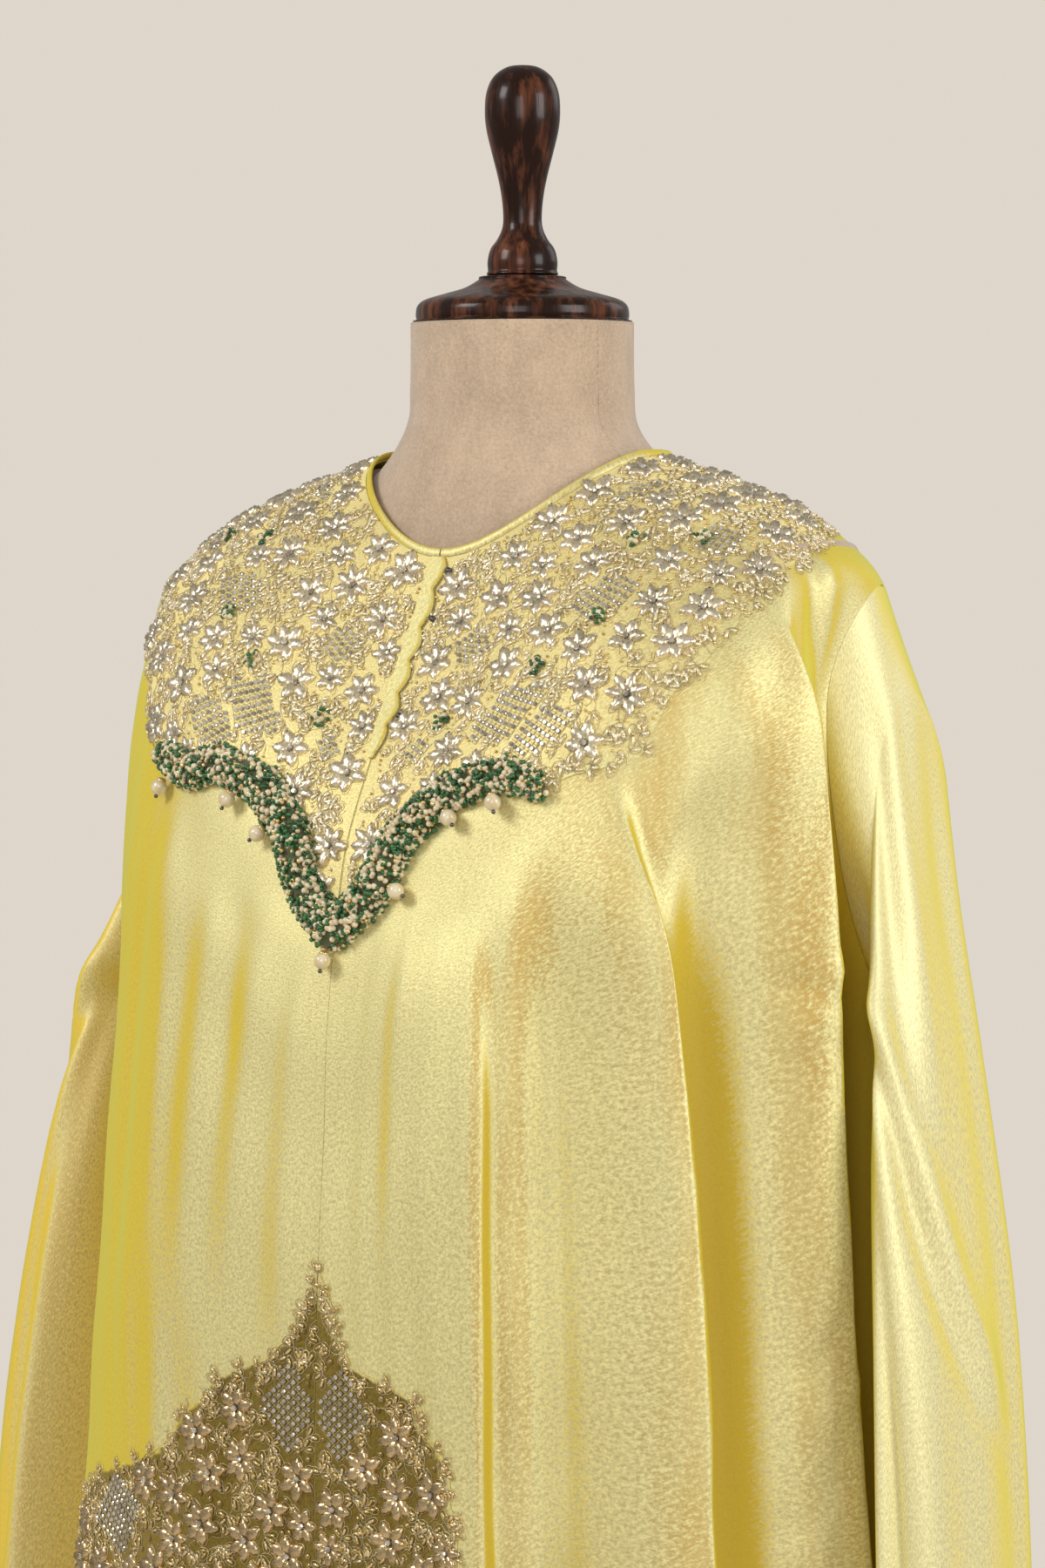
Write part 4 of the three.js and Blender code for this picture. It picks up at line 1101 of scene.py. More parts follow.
def medallion_ground(name, hand):
    key = "left" if hand > 0 else "right"
    top, foot = MEDALLION_EDGE["drop"][[0, -1]]

    def place(across, down):
        drop = top + (foot - top) * down
        width = outline_shares(drop, MEDALLION_EDGE, key)
        wide = hand * (0.4 + np.maximum(width - 0.4, 0.2) * across)
        angle, section = locate(wide, drop)
        inside = np.minimum(width * (1 - across), (drop - top) * 0.3)
        return cloth_point(angle, section, STITCH_LIFT), np.stack([wide, drop], axis=-1), inside / BORDER

    made = cloth_mesh(f"{name}_ground", 44, 110, place)
    if hand < 0:
        made.data.flip_normals()
    return thicken(made, 0.35)


def local_sizes(angle, section):
    """Millimetres to a degree and to a section, at places on the cloth."""
    wide = body_point(angle + 0.5, section) - body_point(angle - 0.5, section)
    tall = body_point(angle, section + 0.05) - body_point(angle, section - 0.05)
    return np.linalg.norm(wide, axis=-1), np.linalg.norm(tall, axis=-1) / 0.1


def shifted(spots, x, y):
    """Places moved by millimetres round and down the cloth."""
    angle, section = spots[..., 0], spots[..., 1]
    wide, tall = local_sizes(angle, section)
    return np.stack([angle + x / wide, section + y / tall], axis=-1)


class Scatter:
    """Places on an embroidered ground that keep their distance."""

    def __init__(self, seed, inside):
        self.random = np.random.default_rng(seed)
        self.inside = inside
        self.taken = np.zeros((0, 4))

    def keep(self, spots, radius):
        points = body_point(spots[:, 0], spots[:, 1])
        rows = np.column_stack([points, np.full(len(points), radius)])
        self.taken = np.vstack([self.taken, rows])

    def throw(self, tries, margin, spacing):
        """Throws places at random and keeps the ones with room."""
        spots = self.inside(self.random, tries, margin)
        points = body_point(spots[:, 0], spots[:, 1])
        kept = []
        taken = self.taken
        for spot, point in zip(spots, points):
            far = np.linalg.norm(taken[:, :3] - point, axis=1)
            if (far > taken[:, 3] + spacing).all():
                taken = np.vstack([taken, [*point, spacing]])
                kept.append(spot)
        self.taken = taken
        if not kept:
            raise RuntimeError("an embroidered ground has no room left")
        return np.array(kept)


def yoke_inside(hand):
    def throw(random, tries, margin):
        angle = -90 + hand * random.uniform(1.5, 98, tries)
        section = random.uniform(0.05, 5.4, tries)
        wide, tall = local_sizes(angle, section)
        point = body_point(angle, section)
        fits = np.abs(point[:, 0]) > 5 + margin * 0.6
        fits &= section * tall > 2.5 + margin
        for side in (-1, 0, 1):
            last = yoke_last_section(angle + side * margin / wide)
            fits &= (last - section) * tall > margin * (1.0 if side == 0 else 0.5)
        fits &= np.abs(angle + 90) < 98 - margin / wide * 0.8
        return np.stack([angle, section], axis=-1)[fits]

    return throw


def medallion_inside(hand):
    key = "left" if hand > 0 else "right"

    def throw(random, tries, margin):
        drop = random.uniform(MEDALLION_EDGE["drop"][0] + 4, MEDALLION_EDGE["drop"][-1] - 4, tries)
        across = random.uniform(0, 192, tries)
        near = [drop + side * margin * 0.8 for side in (-1, 0, 1)]
        width = np.min([outline_shares(place, MEDALLION_EDGE, key) for place in near], axis=0)
        fits = (across < width - margin * 0.8) & (across > 1.5 + margin * 0.8)
        return np.stack(locate(hand * across[fits], drop[fits]), axis=-1)

    return throw


def on_ground(spots, lift, spin):
    """Point and three ways at places on the embroidered ground, turned by a spin."""
    angle, section = spots[:, 0], spots[:, 1]
    across, down, out = body_frame(angle, section)
    c, s = np.cos(spin)[:, None], np.sin(spin)[:, None]
    along = across * c + down * s
    aside = np.cross(along, out)
    points = cloth_point(angle, section, STITCH_LIFT + lift)
    return points, aside, along, out


def wires(name, lines, lift, radius, metal):
    """Couched metal thread: thin three-sided wires through rows of places."""
    count, steps = lines.shape[:2]
    flat = lines.reshape(-1, 2)
    points = cloth_point(flat[:, 0], flat[:, 1], STITCH_LIFT + lift).reshape(count, steps, 3)
    out = body_frame(flat[:, 0], flat[:, 1], False)[2].reshape(count, steps, 3)
    along = unit(np.gradient(points, axis=1))
    aside = unit(np.cross(along, out))
    corners = []
    for turn in (90, 210, 330):
        c, s = math.cos(math.radians(turn)), math.sin(math.radians(turn))
        corners.append(points + radius * (aside * c + out * s))
    rings = np.stack(corners, axis=2).reshape(-1, 3)
    mesh = bpy.data.meshes.new(name)
    index = np.arange(count * steps * 3).reshape(count, steps, 3)
    here, after = index[:, :-1], index[:, 1:]
    faces = []
    for i, j in ((0, 1), (1, 2), (2, 0)):
        faces.append(np.stack([here[..., i], here[..., j], after[..., j], after[..., i]], -1))
    faces = np.stack(faces, axis=2).reshape(-1, 4)
    mesh.from_pydata(rings * MM, [], faces.tolist())
    bm = bmesh.new()
    bm.from_mesh(mesh)
    bmesh.ops.holes_fill(bm, edges=[edge for edge in bm.edges if edge.is_boundary])
    bmesh.ops.recalc_face_normals(bm, faces=bm.faces)
    bm.to_mesh(mesh)
    bm.free()
    return dress(mesh_object(name, mesh), look(metal))


def flowers(name, spots, radius, petals, metal, stone, random):
    """Metal flowers: petals round a small grey stone, each petal outlined in thread."""
    spin = random.uniform(0, 2 * math.pi, len(spots))
    which = np.repeat(np.arange(len(spots)), petals)
    step = np.concatenate([np.arange(count) / count for count in petals])
    turn = spin[which] + 2 * math.pi * step + random.normal(0, 0.06, len(which))
    place, aside, along, out = on_ground(spots[which], 0.1, turn)
    length = radius[which] * random.uniform(0.9, 1.08, len(which))
    width = radius[which] * np.minimum(6 / petals[which], 1.0) * random.uniform(0.9, 1.1, len(which))
    sizes = np.column_stack([width, length, radius[which] * 1.15])
    made = scattered(f"{name}_petals", small_shape(petal_shape), place, aside, along, out, sizes)
    dress(made, look(metal))
    hearts = scattered(f"{name}_hearts", small_shape(faceted_shape), *on_ground(spots, 1.2, spin), 1.6)
    dress(hearts, look(stone), smooth_faces=False)
    rim = np.linspace(0, 2 * math.pi, PETAL_POINTS)
    x = length[:, None] * (0.57 - 0.5 * np.cos(rim))
    y = width[:, None] * 0.3 * np.sin(rim)
    c, s = np.cos(turn)[:, None], np.sin(turn)[:, None]
    lines = shifted(spots[which][:, None, :], x * c - y * s, x * s + y * c)
    wires(f"{name}_petal_thread", lines, 0.25, 0.22, "thread_metal")


def leaves(name, spots, random, glass, length=7.5):
    """Sprays of two to four leaves: an outline of thread round a short tube bead."""
    fan = random.integers(2, 5, len(spots))
    which = np.repeat(np.arange(len(spots)), fan)
    place = np.concatenate([np.arange(count) - (count - 1) / 2 for count in fan])
    turn = random.uniform(0, 2 * math.pi, len(spots))[which] + place * 0.95
    turn = turn + random.normal(0, 0.12, len(which))
    size = length * random.uniform(0.75, 1.1, len(which))
    c, s = np.cos(turn), np.sin(turn)
    rim = np.linspace(0, 2 * math.pi, LEAF_POINTS)
    x = size[:, None] * (0.55 - 0.5 * np.cos(rim))
    y = size[:, None] * 0.23 * np.sin(rim) * (1.15 - 0.3 * np.cos(rim))
    right, up = x * c[:, None] - y * s[:, None], x * s[:, None] + y * c[:, None]
    lines = shifted(spots[which][:, None, :], right, up)
    wires(f"{name}_leaf_thread", lines, 0.25, 0.24, "thread_metal")
    middle = shifted(spots[which], size * 0.55 * c, size * 0.55 * s)
    ways = on_ground(middle, 0.6, turn + random.normal(0, 0.15, len(which)))
    sizes = np.column_stack([np.full(len(which), 0.78), size * 0.27, np.full(len(which), 0.78)])
    made = scattered(f"{name}_leaf_beads", small_shape(bugle_shape), *ways, sizes)
    dress(made, look(glass))
    stem = np.linspace(0, 1, 7)
    bend = random.uniform(-0.9, 0.9, len(spots))
    way = random.uniform(0, 2 * math.pi, len(spots))
    turned_by = way[:, None] + bend[:, None] * stem
    far = 6.5 * stem
    lines = shifted(spots[:, None, :], far * np.cos(turned_by), far * np.sin(turned_by))
    wires(f"{name}_stems", lines, 0.2, 0.26, "thread_metal")


def lattice(name, patches, fits, random, metal, stone):
    """Diamond lattices of thread in pointed leaves, a small stone set in each cell."""
    pitch, cell_width, cell_height = 4.6, 0.66, 0.56
    lines, stones = [], []
    for angle, section, half_width, half_height, lean in patches:
        c, s = math.cos(lean), math.sin(lean)
        steps = int(max(half_width, half_height) / pitch) + 2
        for i in range(-steps, steps + 1):
            for j in range(-steps, steps + 1):
                x, y = (i - j) * pitch * cell_width, (i + j) * pitch * cell_height
                if abs(x) / half_width + (abs(y) / half_height) ** 1.5 > 1:
                    continue
                centre = np.array([angle, section])
                here = shifted(centre, x * c - y * s, x * s + y * c)
                if not fits(here):
                    continue
                stones.append(here)
                for side in (-1, 1):
                    line = []
                    for share in (0, 0.5, 1):
                        u = x + cell_width * pitch * share * side
                        v = y + cell_height * pitch * (1 - share)
                        line.append(shifted(centre, u * c - v * s, u * s + v * c))
                    lines.append(line)
    wires(f"{name}_lattice", np.array(lines), 0.2, 0.22, "thread_metal")
    stones = np.array(stones)
    ways = on_ground(stones, 0.5, random.uniform(0, 6, len(stones)))
    made = scattered(f"{name}_stones", small_shape(faceted_shape), *ways, 1.3)
    dress(made, look(stone), smooth_faces=False)
    return stones


LATTICES = table(
    "turn section half_width half_height lean",
    [
        (32, 3.15, 24, 15, 0.1),
        (38, 3.75, 20, 12, 0.2),
        (51, 2.35, 19, 12, 0.35),
        (22, 1.6, 13, 10, 0.6),
        (68, 0.75, 15, 6, 0.2),
        (71, 2.55, 17, 11, 0.3),
        (12, 2.9, 9, 8, 0.0),
    ],
)
CLUSTERS = table("turn section", [(17, 2.6), (49, 2.65), (60, 1.7), (69, 2.35), (38, 2.75)])


def yoke_patches(hand):
    return [
        (-90 + hand * row["turn"], row["section"], row["half_width"], row["half_height"], hand * row["lean"])
        for row in rows_of(LATTICES)
    ]


class KAFTAN_OT_yoke(KaftanOperator):
    """Make the embroidered yoke: ground, metal flowers, lattices, leaves and bead clusters"""

    bl_idname = "kaftan.yoke"
    bl_label = "Yoke"

    def make(self, sizes):
        random = np.random.default_rng(sizes.seed)
        for name, hand in (("yoke_left", 1), ("yoke_right", -1)):
            ground = yoke_ground(name, hand)
            dress(ground, look("yoke_ground"), [name])
            scatter = Scatter(sizes.seed + (1 if hand > 0 else 2), yoke_inside(hand))
            stones = lattice(name, yoke_patches(hand), inside_yoke, random, "thread_metal", "stone")
            scatter.keep(stones, 1.6)
            clusters = np.array([(-90 + hand * row["turn"], row["section"]) for row in rows_of(CLUSTERS)])
            scatter.keep(clusters, 5.0)
            big = scatter.throw(2500, 9.5, 11.0)
            small = scatter.throw(2500, 7.5, 8.6)
            spots = np.vstack([big, small])
            radius = np.concatenate([np.full(len(big), 11.0), np.full(len(small), 8.8)])
            radius = radius * random.uniform(0.92, 1.08, len(spots))
            petals = random.choice([5, 6, 6, 6, 7, 8], len(spots))
            flowers(name, spots, radius, petals, "petal_metal", "stone", random)
            leaves(name, scatter.throw(5000, 3.2, 2.0), random, "bugle_glass")
            turns = -90 + hand * np.linspace(38, 97, 26)
            rim = yoke_last_section(turns)
            edge = shifted(np.stack([turns, rim], axis=-1), 0, -2.0)
            leaves(f"{name}_edge", edge, random, "bugle_glass", 6.5)
            dots = scatter.throw(4000, 1.5, 0.9)
            ways = on_ground(dots, 0.5, random.uniform(0, 6, len(dots)))
            made = scattered(f"{name}_dots", small_shape(dot_shape), *ways, 0.85)
            dress(made, look("gold_glass"))
            bead_clusters(name, clusters, sizes, random)


def inside_yoke(spot):
    last = yoke_last_section(spot[:1])[0]
    point = body_point(*spot)
    return 0.12 < spot[1] < last - 0.06 and abs(point[0]) > 5


def bead_clusters(name, spots, sizes, random):
    """Little raised tufts of green glass and pearl."""
    shape = small_shape(sphere_shape)
    for kind, count, spread in (("green_glass", 14, 5.0), ("pearl", 8, 4.0)):
        rows = np.repeat(spots, count, axis=0)
        spin = random.uniform(0, 2 * math.pi, len(rows))
        points, aside, along, out = on_ground(rows, 0.0, spin)
        far = spread * np.sqrt(random.uniform(0, 1, len(rows)))
        high = (spread - far) * 0.8 * random.uniform(0.5, 1.1, len(rows)) + 0.8
        points = points + along * far[:, None] + out * high[:, None]
        size = sizes.bead / MM / 2 * (1.15 if kind == "pearl" else 0.85)
        made = scattered(f"{name}_tuft_{kind}", shape, points, aside, along, out, size)
        dress(made, look(kind))


MEDALLION_LATTICES = table(
    "across drop half_width half_height lean",
    [(16, 470, 16, 22, 0), (140, 540, 26, 20, 0.3), (110, 600, 26, 22, 0), (60, 660, 22, 20, 0)],
)


class KAFTAN_OT_medallion(KaftanOperator):
    """Make the embroidered medallion below"""

    bl_idname = "kaftan.medallion"
    bl_label = "Medallion"

    def make(self, sizes):
        random = np.random.default_rng(sizes.seed + 10)
        for name, hand in (("medallion_left", 1), ("medallion_right", -1)):
            key = "left" if hand > 0 else "right"
            ground = medallion_ground(name, hand)
            dress(ground, look("medallion_ground"), [name])
            scatter = Scatter(sizes.seed + (11 if hand > 0 else 12), medallion_inside(hand))
            patches = []
            for row in rows_of(MEDALLION_LATTICES):
                if row["across"] < outline_shares(row["drop"], MEDALLION_EDGE, key) - 8:
                    angle, section = locate(hand * row["across"], row["drop"])
                    half = row["half_width"], row["half_height"]
                    patches.append((angle[0], section[0], *half, hand * row["lean"]))
            inside = partial(self.fits, hand=hand, key=key)
            stones = lattice(name, patches, inside, random, "thread_metal", "stone")
            scatter.keep(stones, 1.6)
            big = scatter.throw(1600, 10.0, 10.6)
            small = scatter.throw(1200, 8.0, 8.4)
            spots = np.vstack([big, small])
            radius = np.concatenate([np.full(len(big), 11.5), np.full(len(small), 9.0)])
            petals = random.choice([6, 6, 6, 7], len(spots))
            flowers(name, spots, radius, petals, "antique_metal", "stone", random)
            leaves(name, scatter.throw(3500, 3.6, 2.0), random, "gold_glass")
            drops = np.linspace(MEDALLION_EDGE["drop"][0] + 2, MEDALLION_EDGE["drop"][-1] - 6, 60)
            wide = outline_shares(drops, MEDALLION_EDGE, key)
            edge = np.stack(locate(hand * np.maximum(wide - 1.5, 0.8), drops), axis=-1)
            leaves(f"{name}_edge", edge, random, "gold_glass", 6.5)
            dots = scatter.throw(2500, 2.0, 1.0)
            ways = on_ground(dots, 0.5, random.uniform(0, 6, len(dots)))
            made = scattered(f"{name}_sequins", small_shape(sequin_shape), *ways, 1.5)
            dress(made, look("gold_glass"))

    def fits(self, spot, hand, key):
        point = body_point(*spot)
        across = point[0] * hand
        return 2 < across < outline_shares(SHOULDER_HEIGHT - point[2], MEDALLION_EDGE, key) - 2


def trim_line(share):
    """Point and ways along the yoke's lower edge, from the right tip (-1) to the left (1)."""
    share = np.asarray(share, float)
    step = 0.03

    def at(place):
        place = np.clip(place, -1, 1)
        across = np.where(place < 0, TRIM_RIGHT, TRIM_LEFT) * place
        return locate(across, yoke_hem(across))

    angle, section = at(share)
    middle = cloth_point(angle, section, STITCH_LIFT)
    ends = [body_point(*at(share + side * step)) for side in (1, -1)]
    along = unit(ends[0] - ends[1])
    out = body_frame(angle, section, False)[2]
    return middle, along, unit(np.cross(along, out)), out


def trim_taper(share):
    return 0.35 + 0.65 * np.sqrt(np.clip(1 - np.abs(share) ** 4, 0, 1))


class KAFTAN_OT_trim(KaftanOperator):
    """Make the thick rope of beads and its pearl drops"""

    bl_idname = "kaftan.trim"
    bl_label = "Bead trim"

    def make(self, sizes):
        random = np.random.default_rng(sizes.seed + 20)
        dress(self.core(sizes), look("core"), ["bead_trim"])
        count = sizes.trim_beads
        share = np.sort(self.even_shares(random.uniform(0, 1, count)))
        middle, along, down, out = trim_line(share)
        turn = random.uniform(-0.35, math.pi + 0.35, count)
        taper = trim_taper(share)
        kind = random.choice(3, count, p=(0.47, 0.38, 0.15))
        wide = sizes.trim_width / MM
        stand = random.uniform(-0.6, 1.0, count) + np.where(kind == 0, 1.1, 0.2)
        points = (
            middle
            + down * ((wide * taper + stand) * np.cos(turn))[:, None]
            + out * (1.4 + (wide * 0.85 * taper + stand) * np.maximum(np.sin(turn), -0.1))[:, None]
            + along * random.uniform(-1.2, 1.2, count)[:, None]
        )
        shape = small_shape(sphere_shape)
        radius = sizes.bead / MM / 2
        for number, (name, look_name, size) in enumerate(
            (("green", "green_glass", 0.86), ("pearl", "pearl", 1.2), ("gold", "gold_glass", 0.9))
        ):
            pick = kind == number
            made = scattered(
                f"trim_{name}_beads", shape, points[pick], down[pick], along[pick], out[pick],
                radius * size * random.uniform(0.85, 1.15, int(pick.sum())),
            )
            dress(made, look(look_name))
        self.drops(sizes)

    def even_shares(self, places):
        """Shares of the rope's line at even lengths along it."""
        shares = np.linspace(-1, 1, 241)
        steps = np.linalg.norm(np.diff(trim_line(shares)[0], axis=0), axis=1)
        length = np.concatenate([[0], np.cumsum(steps)])
        return np.interp(places * length[-1], length, shares)

    def core(self, sizes):
        """The roll under the beads, tapered to its tips; its dark colour is partly painted shade between the
        beads.
        """
        steps, sides = 90, 14
        shares = np.linspace(-1, 1, steps + 1)
        frames = trim_line(shares)
        wide = sizes.trim_width / MM

        def place(around, down):
            row = np.rint(down * steps).astype(int)
            turn = 2 * np.pi * around
            middle, _, aside, out = (part[row] for part in frames)
            taper = trim_taper(shares[row]) * np.where(np.abs(shares[row]) > 0.999, 0.05, 1)
            high = 0.4 + wide * 0.42 * taper * (1 + np.sin(turn))
            points = middle + aside * (wide * 0.9 * taper * np.cos(turn))[:, None] + out * high[:, None]
            return points, np.stack([around * 50, down * 280], axis=-1)

        made = cloth_mesh("trim_core", sides, steps, place, closed=True)
        bm = bmesh.new()
        bm.from_mesh(made.data)
        bmesh.ops.holes_fill(bm, edges=[edge for edge in bm.edges if edge.is_boundary])
        bmesh.ops.recalc_face_normals(bm, faces=bm.faces)
        bm.to_mesh(made.data)
        bm.free()
        return made

    def drops(self, sizes):
        """Large pearls in gold caps, each ended by a small steel bead."""
        radius = sizes.pearl / MM
        middle, along, down, out = trim_line(PEARL_PLACES)
        low = np.where(down[:, 2:] > 0, -1, 1) * down
        clear = sizes.trim_width / MM + radius + 1.6
        centre = middle + low * clear + out * (radius + 1)
        for i in range(len(PEARL_PLACES)):
            bm = bmesh.new()
            bmesh.ops.create_uvsphere(bm, u_segments=32, v_segments=20, radius=radius * MM)
            bmesh.ops.translate(bm, verts=bm.verts, vec=Vector(centre[i] * MM))
            mesh = bpy.data.meshes.new(f"pearl_{i + 1}")
            bm.to_mesh(mesh)
            bm.free()
            dress(mesh_object(f"pearl_{i + 1}", mesh), look("pearl"), [f"pearl_drop_{i + 1}"])
        ways = (along, low, out)
        shape = small_shape(sphere_shape)
        cap_sizes = np.tile((2.6, 1.4, 2.6), (len(PEARL_PLACES), 1))
        cap = scattered("pearl_caps", shape, centre - low * radius * 0.9, *ways, cap_sizes)
        dress(cap, look("gold_glass"))
        tip = scattered("pearl_tips", shape, centre + low * (radius + 0.9), *ways, 1.1)
        dress(tip, look("steel"))


def near_front(across, section, lift):
    reach = column(SECTIONS["front"], section)
    angle = -90 + np.degrees(np.arcsin(across / reach))
    return cloth_point(angle, section, lift)


class KAFTAN_OT_placket(KaftanOperator):
    """Make the scalloped placket, its hook beads and the neck binding"""

    bl_idname = "kaftan.placket"
    bl_label = "Placket and binding"

    def make(self, sizes):
        def flap(across, down):
            lap = PLACKET_LAP + SCALLOP_DEPTH * np.abs(np.sin(np.pi * SCALLOPS * down))
            taper = np.minimum((1 - down) * 6, 1)
            start = PLACKET_BACK * (0.4 + 0.6 * taper)
            place = start + (lap * (0.3 + 0.7 * taper) - start) * across
            curl = 0.5 * np.maximum(across - 0.8, 0) * 5
            section = 0.03 + (PLACKET_END - 0.03) * down
            points = near_front(place, section, STITCH_LIFT + 1.6 + curl)
            return points, np.stack([place, down * 115], axis=-1)

        cloth = thicken(cloth_mesh("placket_cloth", 14, 180, flap), 0.9)
        dress(cloth, look("edging"), ["placket"])
        self.hooks()
        self.binding()

    def hooks(self):
        shape = small_shape(sphere_shape)
        across = PLACKET_LAP + SCALLOP_DEPTH + 2.7
        for i, section in enumerate(HOOK_PLACES):
            reach = column(SECTIONS["front"], np.array(section))
            spot = np.array([[-90 + math.degrees(math.asin(across / reach)), section]])
            points, aside, along, out = on_ground(spot, 1.6, np.zeros(1))
            made = scattered(f"hook_{i + 1}", shape, points, aside, along, out, 1.7)
            dress(made, look("steel"), [f"hook_bead_{i + 1}"])

    def binding(self):
        """A folded strip: a rounded loop of cloth over the neckline's raw edge."""
        def strip(around, along):
            angle = -90 + 0.3 + 359.4 * around
            edge = body_point(angle, 0)
            rise = unit(edge - body_point(angle, 0.3))
            rise[:, 2] += 0.6
            rise = unit(rise)
            out = body_frame(angle, np.zeros_like(angle))[2]
            turn = np.pi * (along - 0.5) * 1.86
            up = 2.3 + 2.3 * np.cos(turn)
            lift = 0.2 + 1.15 * np.sin(turn)
            points = edge + rise * up[:, None] + out * lift[:, None]
            return points, np.stack([angle * 1.4, along * 9], axis=-1)

        made = thicken(cloth_mesh("neck_binding_strip", 240, 12, strip, closed=True), 0.35)
        dress(made, look("edging"), ["neck_binding"])


def form_rings():
    """Rings of the form: the neck, the shoulders under the cloth, then the bust to the hip."""
    shoulders = (0, 0.25, 0.5, 1, 1.5, 2, 2.5, 3, 3.4)
    rows = rows_of(FORM_SECTIONS)

    def own(row):
        def ring(angle):
            reach, drop = oval(angle, row)
            c, s = np.cos(np.radians(angle)), np.sin(np.radians(angle))
            return np.stack([reach * c, reach * s, SHOULDER_HEIGHT - drop], axis=-1)

        return ring

    def under(section):
        inset = FORM_INSET + (2.4 if section == 0 else 0.8 if section == 0.25 else 0)
        return lambda angle: raised(angle, np.full_like(angle, section), -inset, False)

    neck = [own(row) for row in rows[:NECK_RINGS]]
    return neck + [under(section) for section in shoulders] + [own(row) for row in rows[NECK_RINGS:]]


class KAFTAN_OT_form(KaftanOperator):
    """Make the covered dress form"""

    bl_idname = "kaftan.form"
    bl_label = "Dress form"

    def make(self, sizes):
        turns = np.linspace(-180, 180, FORM_COLUMNS + 1)
        rings = np.array([ring(turns) for ring in form_rings()])
        made = self.loft(FORM_COLUMNS, FORM_STEPS, rings, len(rings) - 1)
        dress(made, look("linen"), ["form_torso"])
        self.seam_stitches(rings)

    def loft(self, columns, steps, rings, last):
        bm = bmesh.new()
        bmesh.ops.create_grid(bm, x_segments=columns, y_segments=steps, size=0.5)
        for vert in bm.verts:
            i = int(round((vert.co.x + 0.5) * columns))
            share = np.array((0.5 - vert.co.y) * last)
            vert.co = [float(column(rings[:, i, k], share)) * MM for k in range(3)]
        bmesh.ops.remove_doubles(bm, verts=bm.verts, dist=0.00002)
        bmesh.ops.holes_fill(bm, edges=[edge for edge in bm.edges if edge.is_boundary])
        bmesh.ops.recalc_face_normals(bm, faces=bm.faces)
        mesh = bpy.data.meshes.new("form_cover")
        bm.to_mesh(mesh)
        bm.free()
        return mesh_object("form_cover", mesh)

    def seam_stitches(self, rings):
        """The pulled stitches of the cover's neck seams, down both sides and the back."""
        shape = small_shape(bugle_shape)
        places, alongs = [], []
        for angle in (-14, 166, 90):
            i = int(round((angle + 180) / 360 * FORM_COLUMNS))
            for share in np.arange(0.15, 4.2, 0.09):
                here, next_one = (
                    np.array([column(rings[:, i, k], np.array(share + step)) for k in range(3)])
                    for step in (0, 0.04)
                )
                places.append(here)
                alongs.append(unit(next_one - here))
        places, alongs = np.array(places), np.array(alongs)
        out = unit(places * np.array([1, 1, 0]))
        aside = unit(np.cross(alongs, out))
        ways = aside, alongs, np.cross(aside, alongs)
        stitch_sizes = np.tile((0.28, 1.0, 0.28), (len(places), 1))
        made = scattered("form_seam", shape, places + out * 0.05, *ways, stitch_sizes)
        dress(made, look("linen"))


def turned(name, profile, base, steps=96):
    """A turned piece, spun from its profile."""
    bm = bmesh.new()
    corners = [bm.verts.new((r * MM, 0, (base + z) * MM)) for r, z in zip(profile["radius"], profile["rise"])]
    edges = [bm.edges.new(pair) for pair in zip(corners, corners[1:])]
    bmesh.ops.spin(
        bm, geom=corners + edges, cent=(0, 0, 0), axis=(0, 0, 1), dvec=(0, 0, 0),
        angle=2 * math.pi, steps=steps, use_merge=True,
    )
    bmesh.ops.remove_doubles(bm, verts=bm.verts, dist=0.00001)
    bmesh.ops.recalc_face_normals(bm, faces=bm.faces)
    mesh = bpy.data.meshes.new(name)
    bm.to_mesh(mesh)
    bm.free()
    made = mesh_object(name, mesh)
    return made


def fine_profile(profile, steps=60):
    """The profile's points drawn out on a smooth curve."""
    places = np.linspace(0, len(profile["radius"]) - 1, steps)
    return {name: np.maximum(column(values, places), 0) for name, values in profile.items()}


class KAFTAN_OT_stand(KaftanOperator):
    """Make the turned wooden cap, finial, pole and base"""

    bl_idname = "kaftan.stand"
    bl_label = "Stand"

    def make(self, sizes):
        pieces = (
            ("cap_wood", fine_profile(CAP_PROFILE, 90), SHOULDER_HEIGHT, "form_cap"),
            ("finial_wood", fine_profile(FINIAL_PROFILE, 110), SHOULDER_HEIGHT, "form_finial"),
        )
        for name, profile, base, node in pieces:
            dress(turned(name, profile, base), look("walnut"), [node])
        base_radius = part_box("stand_base")[1][0] / MM
        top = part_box("stand_base")[1][2] / MM
        pole_low, pole_high = (corner[2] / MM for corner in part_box("stand_pole"))
        foot = table(
            "radius rise",
            [
                (0, 0),
                (base_radius - 2, 0),
                (base_radius, 2),
                (base_radius, top - 8),
                (base_radius - 3, top - 3.5),
                (base_radius - 8, top - 2),
                (40, top),
                (0, top),
            ],
        )
        dress(turned("base_wood", foot, 0, 128), look("walnut"), ["stand_base"])
        pole = table(
            "radius rise",
            [
                (0, pole_low),
                (15.5, pole_low),
                (16, pole_low + 0.5),
                (16, pole_high - 0.5),
                (15.5, pole_high),
                (0, pole_high),
            ],
        )
        dress(turned("pole_wood", pole, 0, 64), look("walnut"), ["stand_pole"])


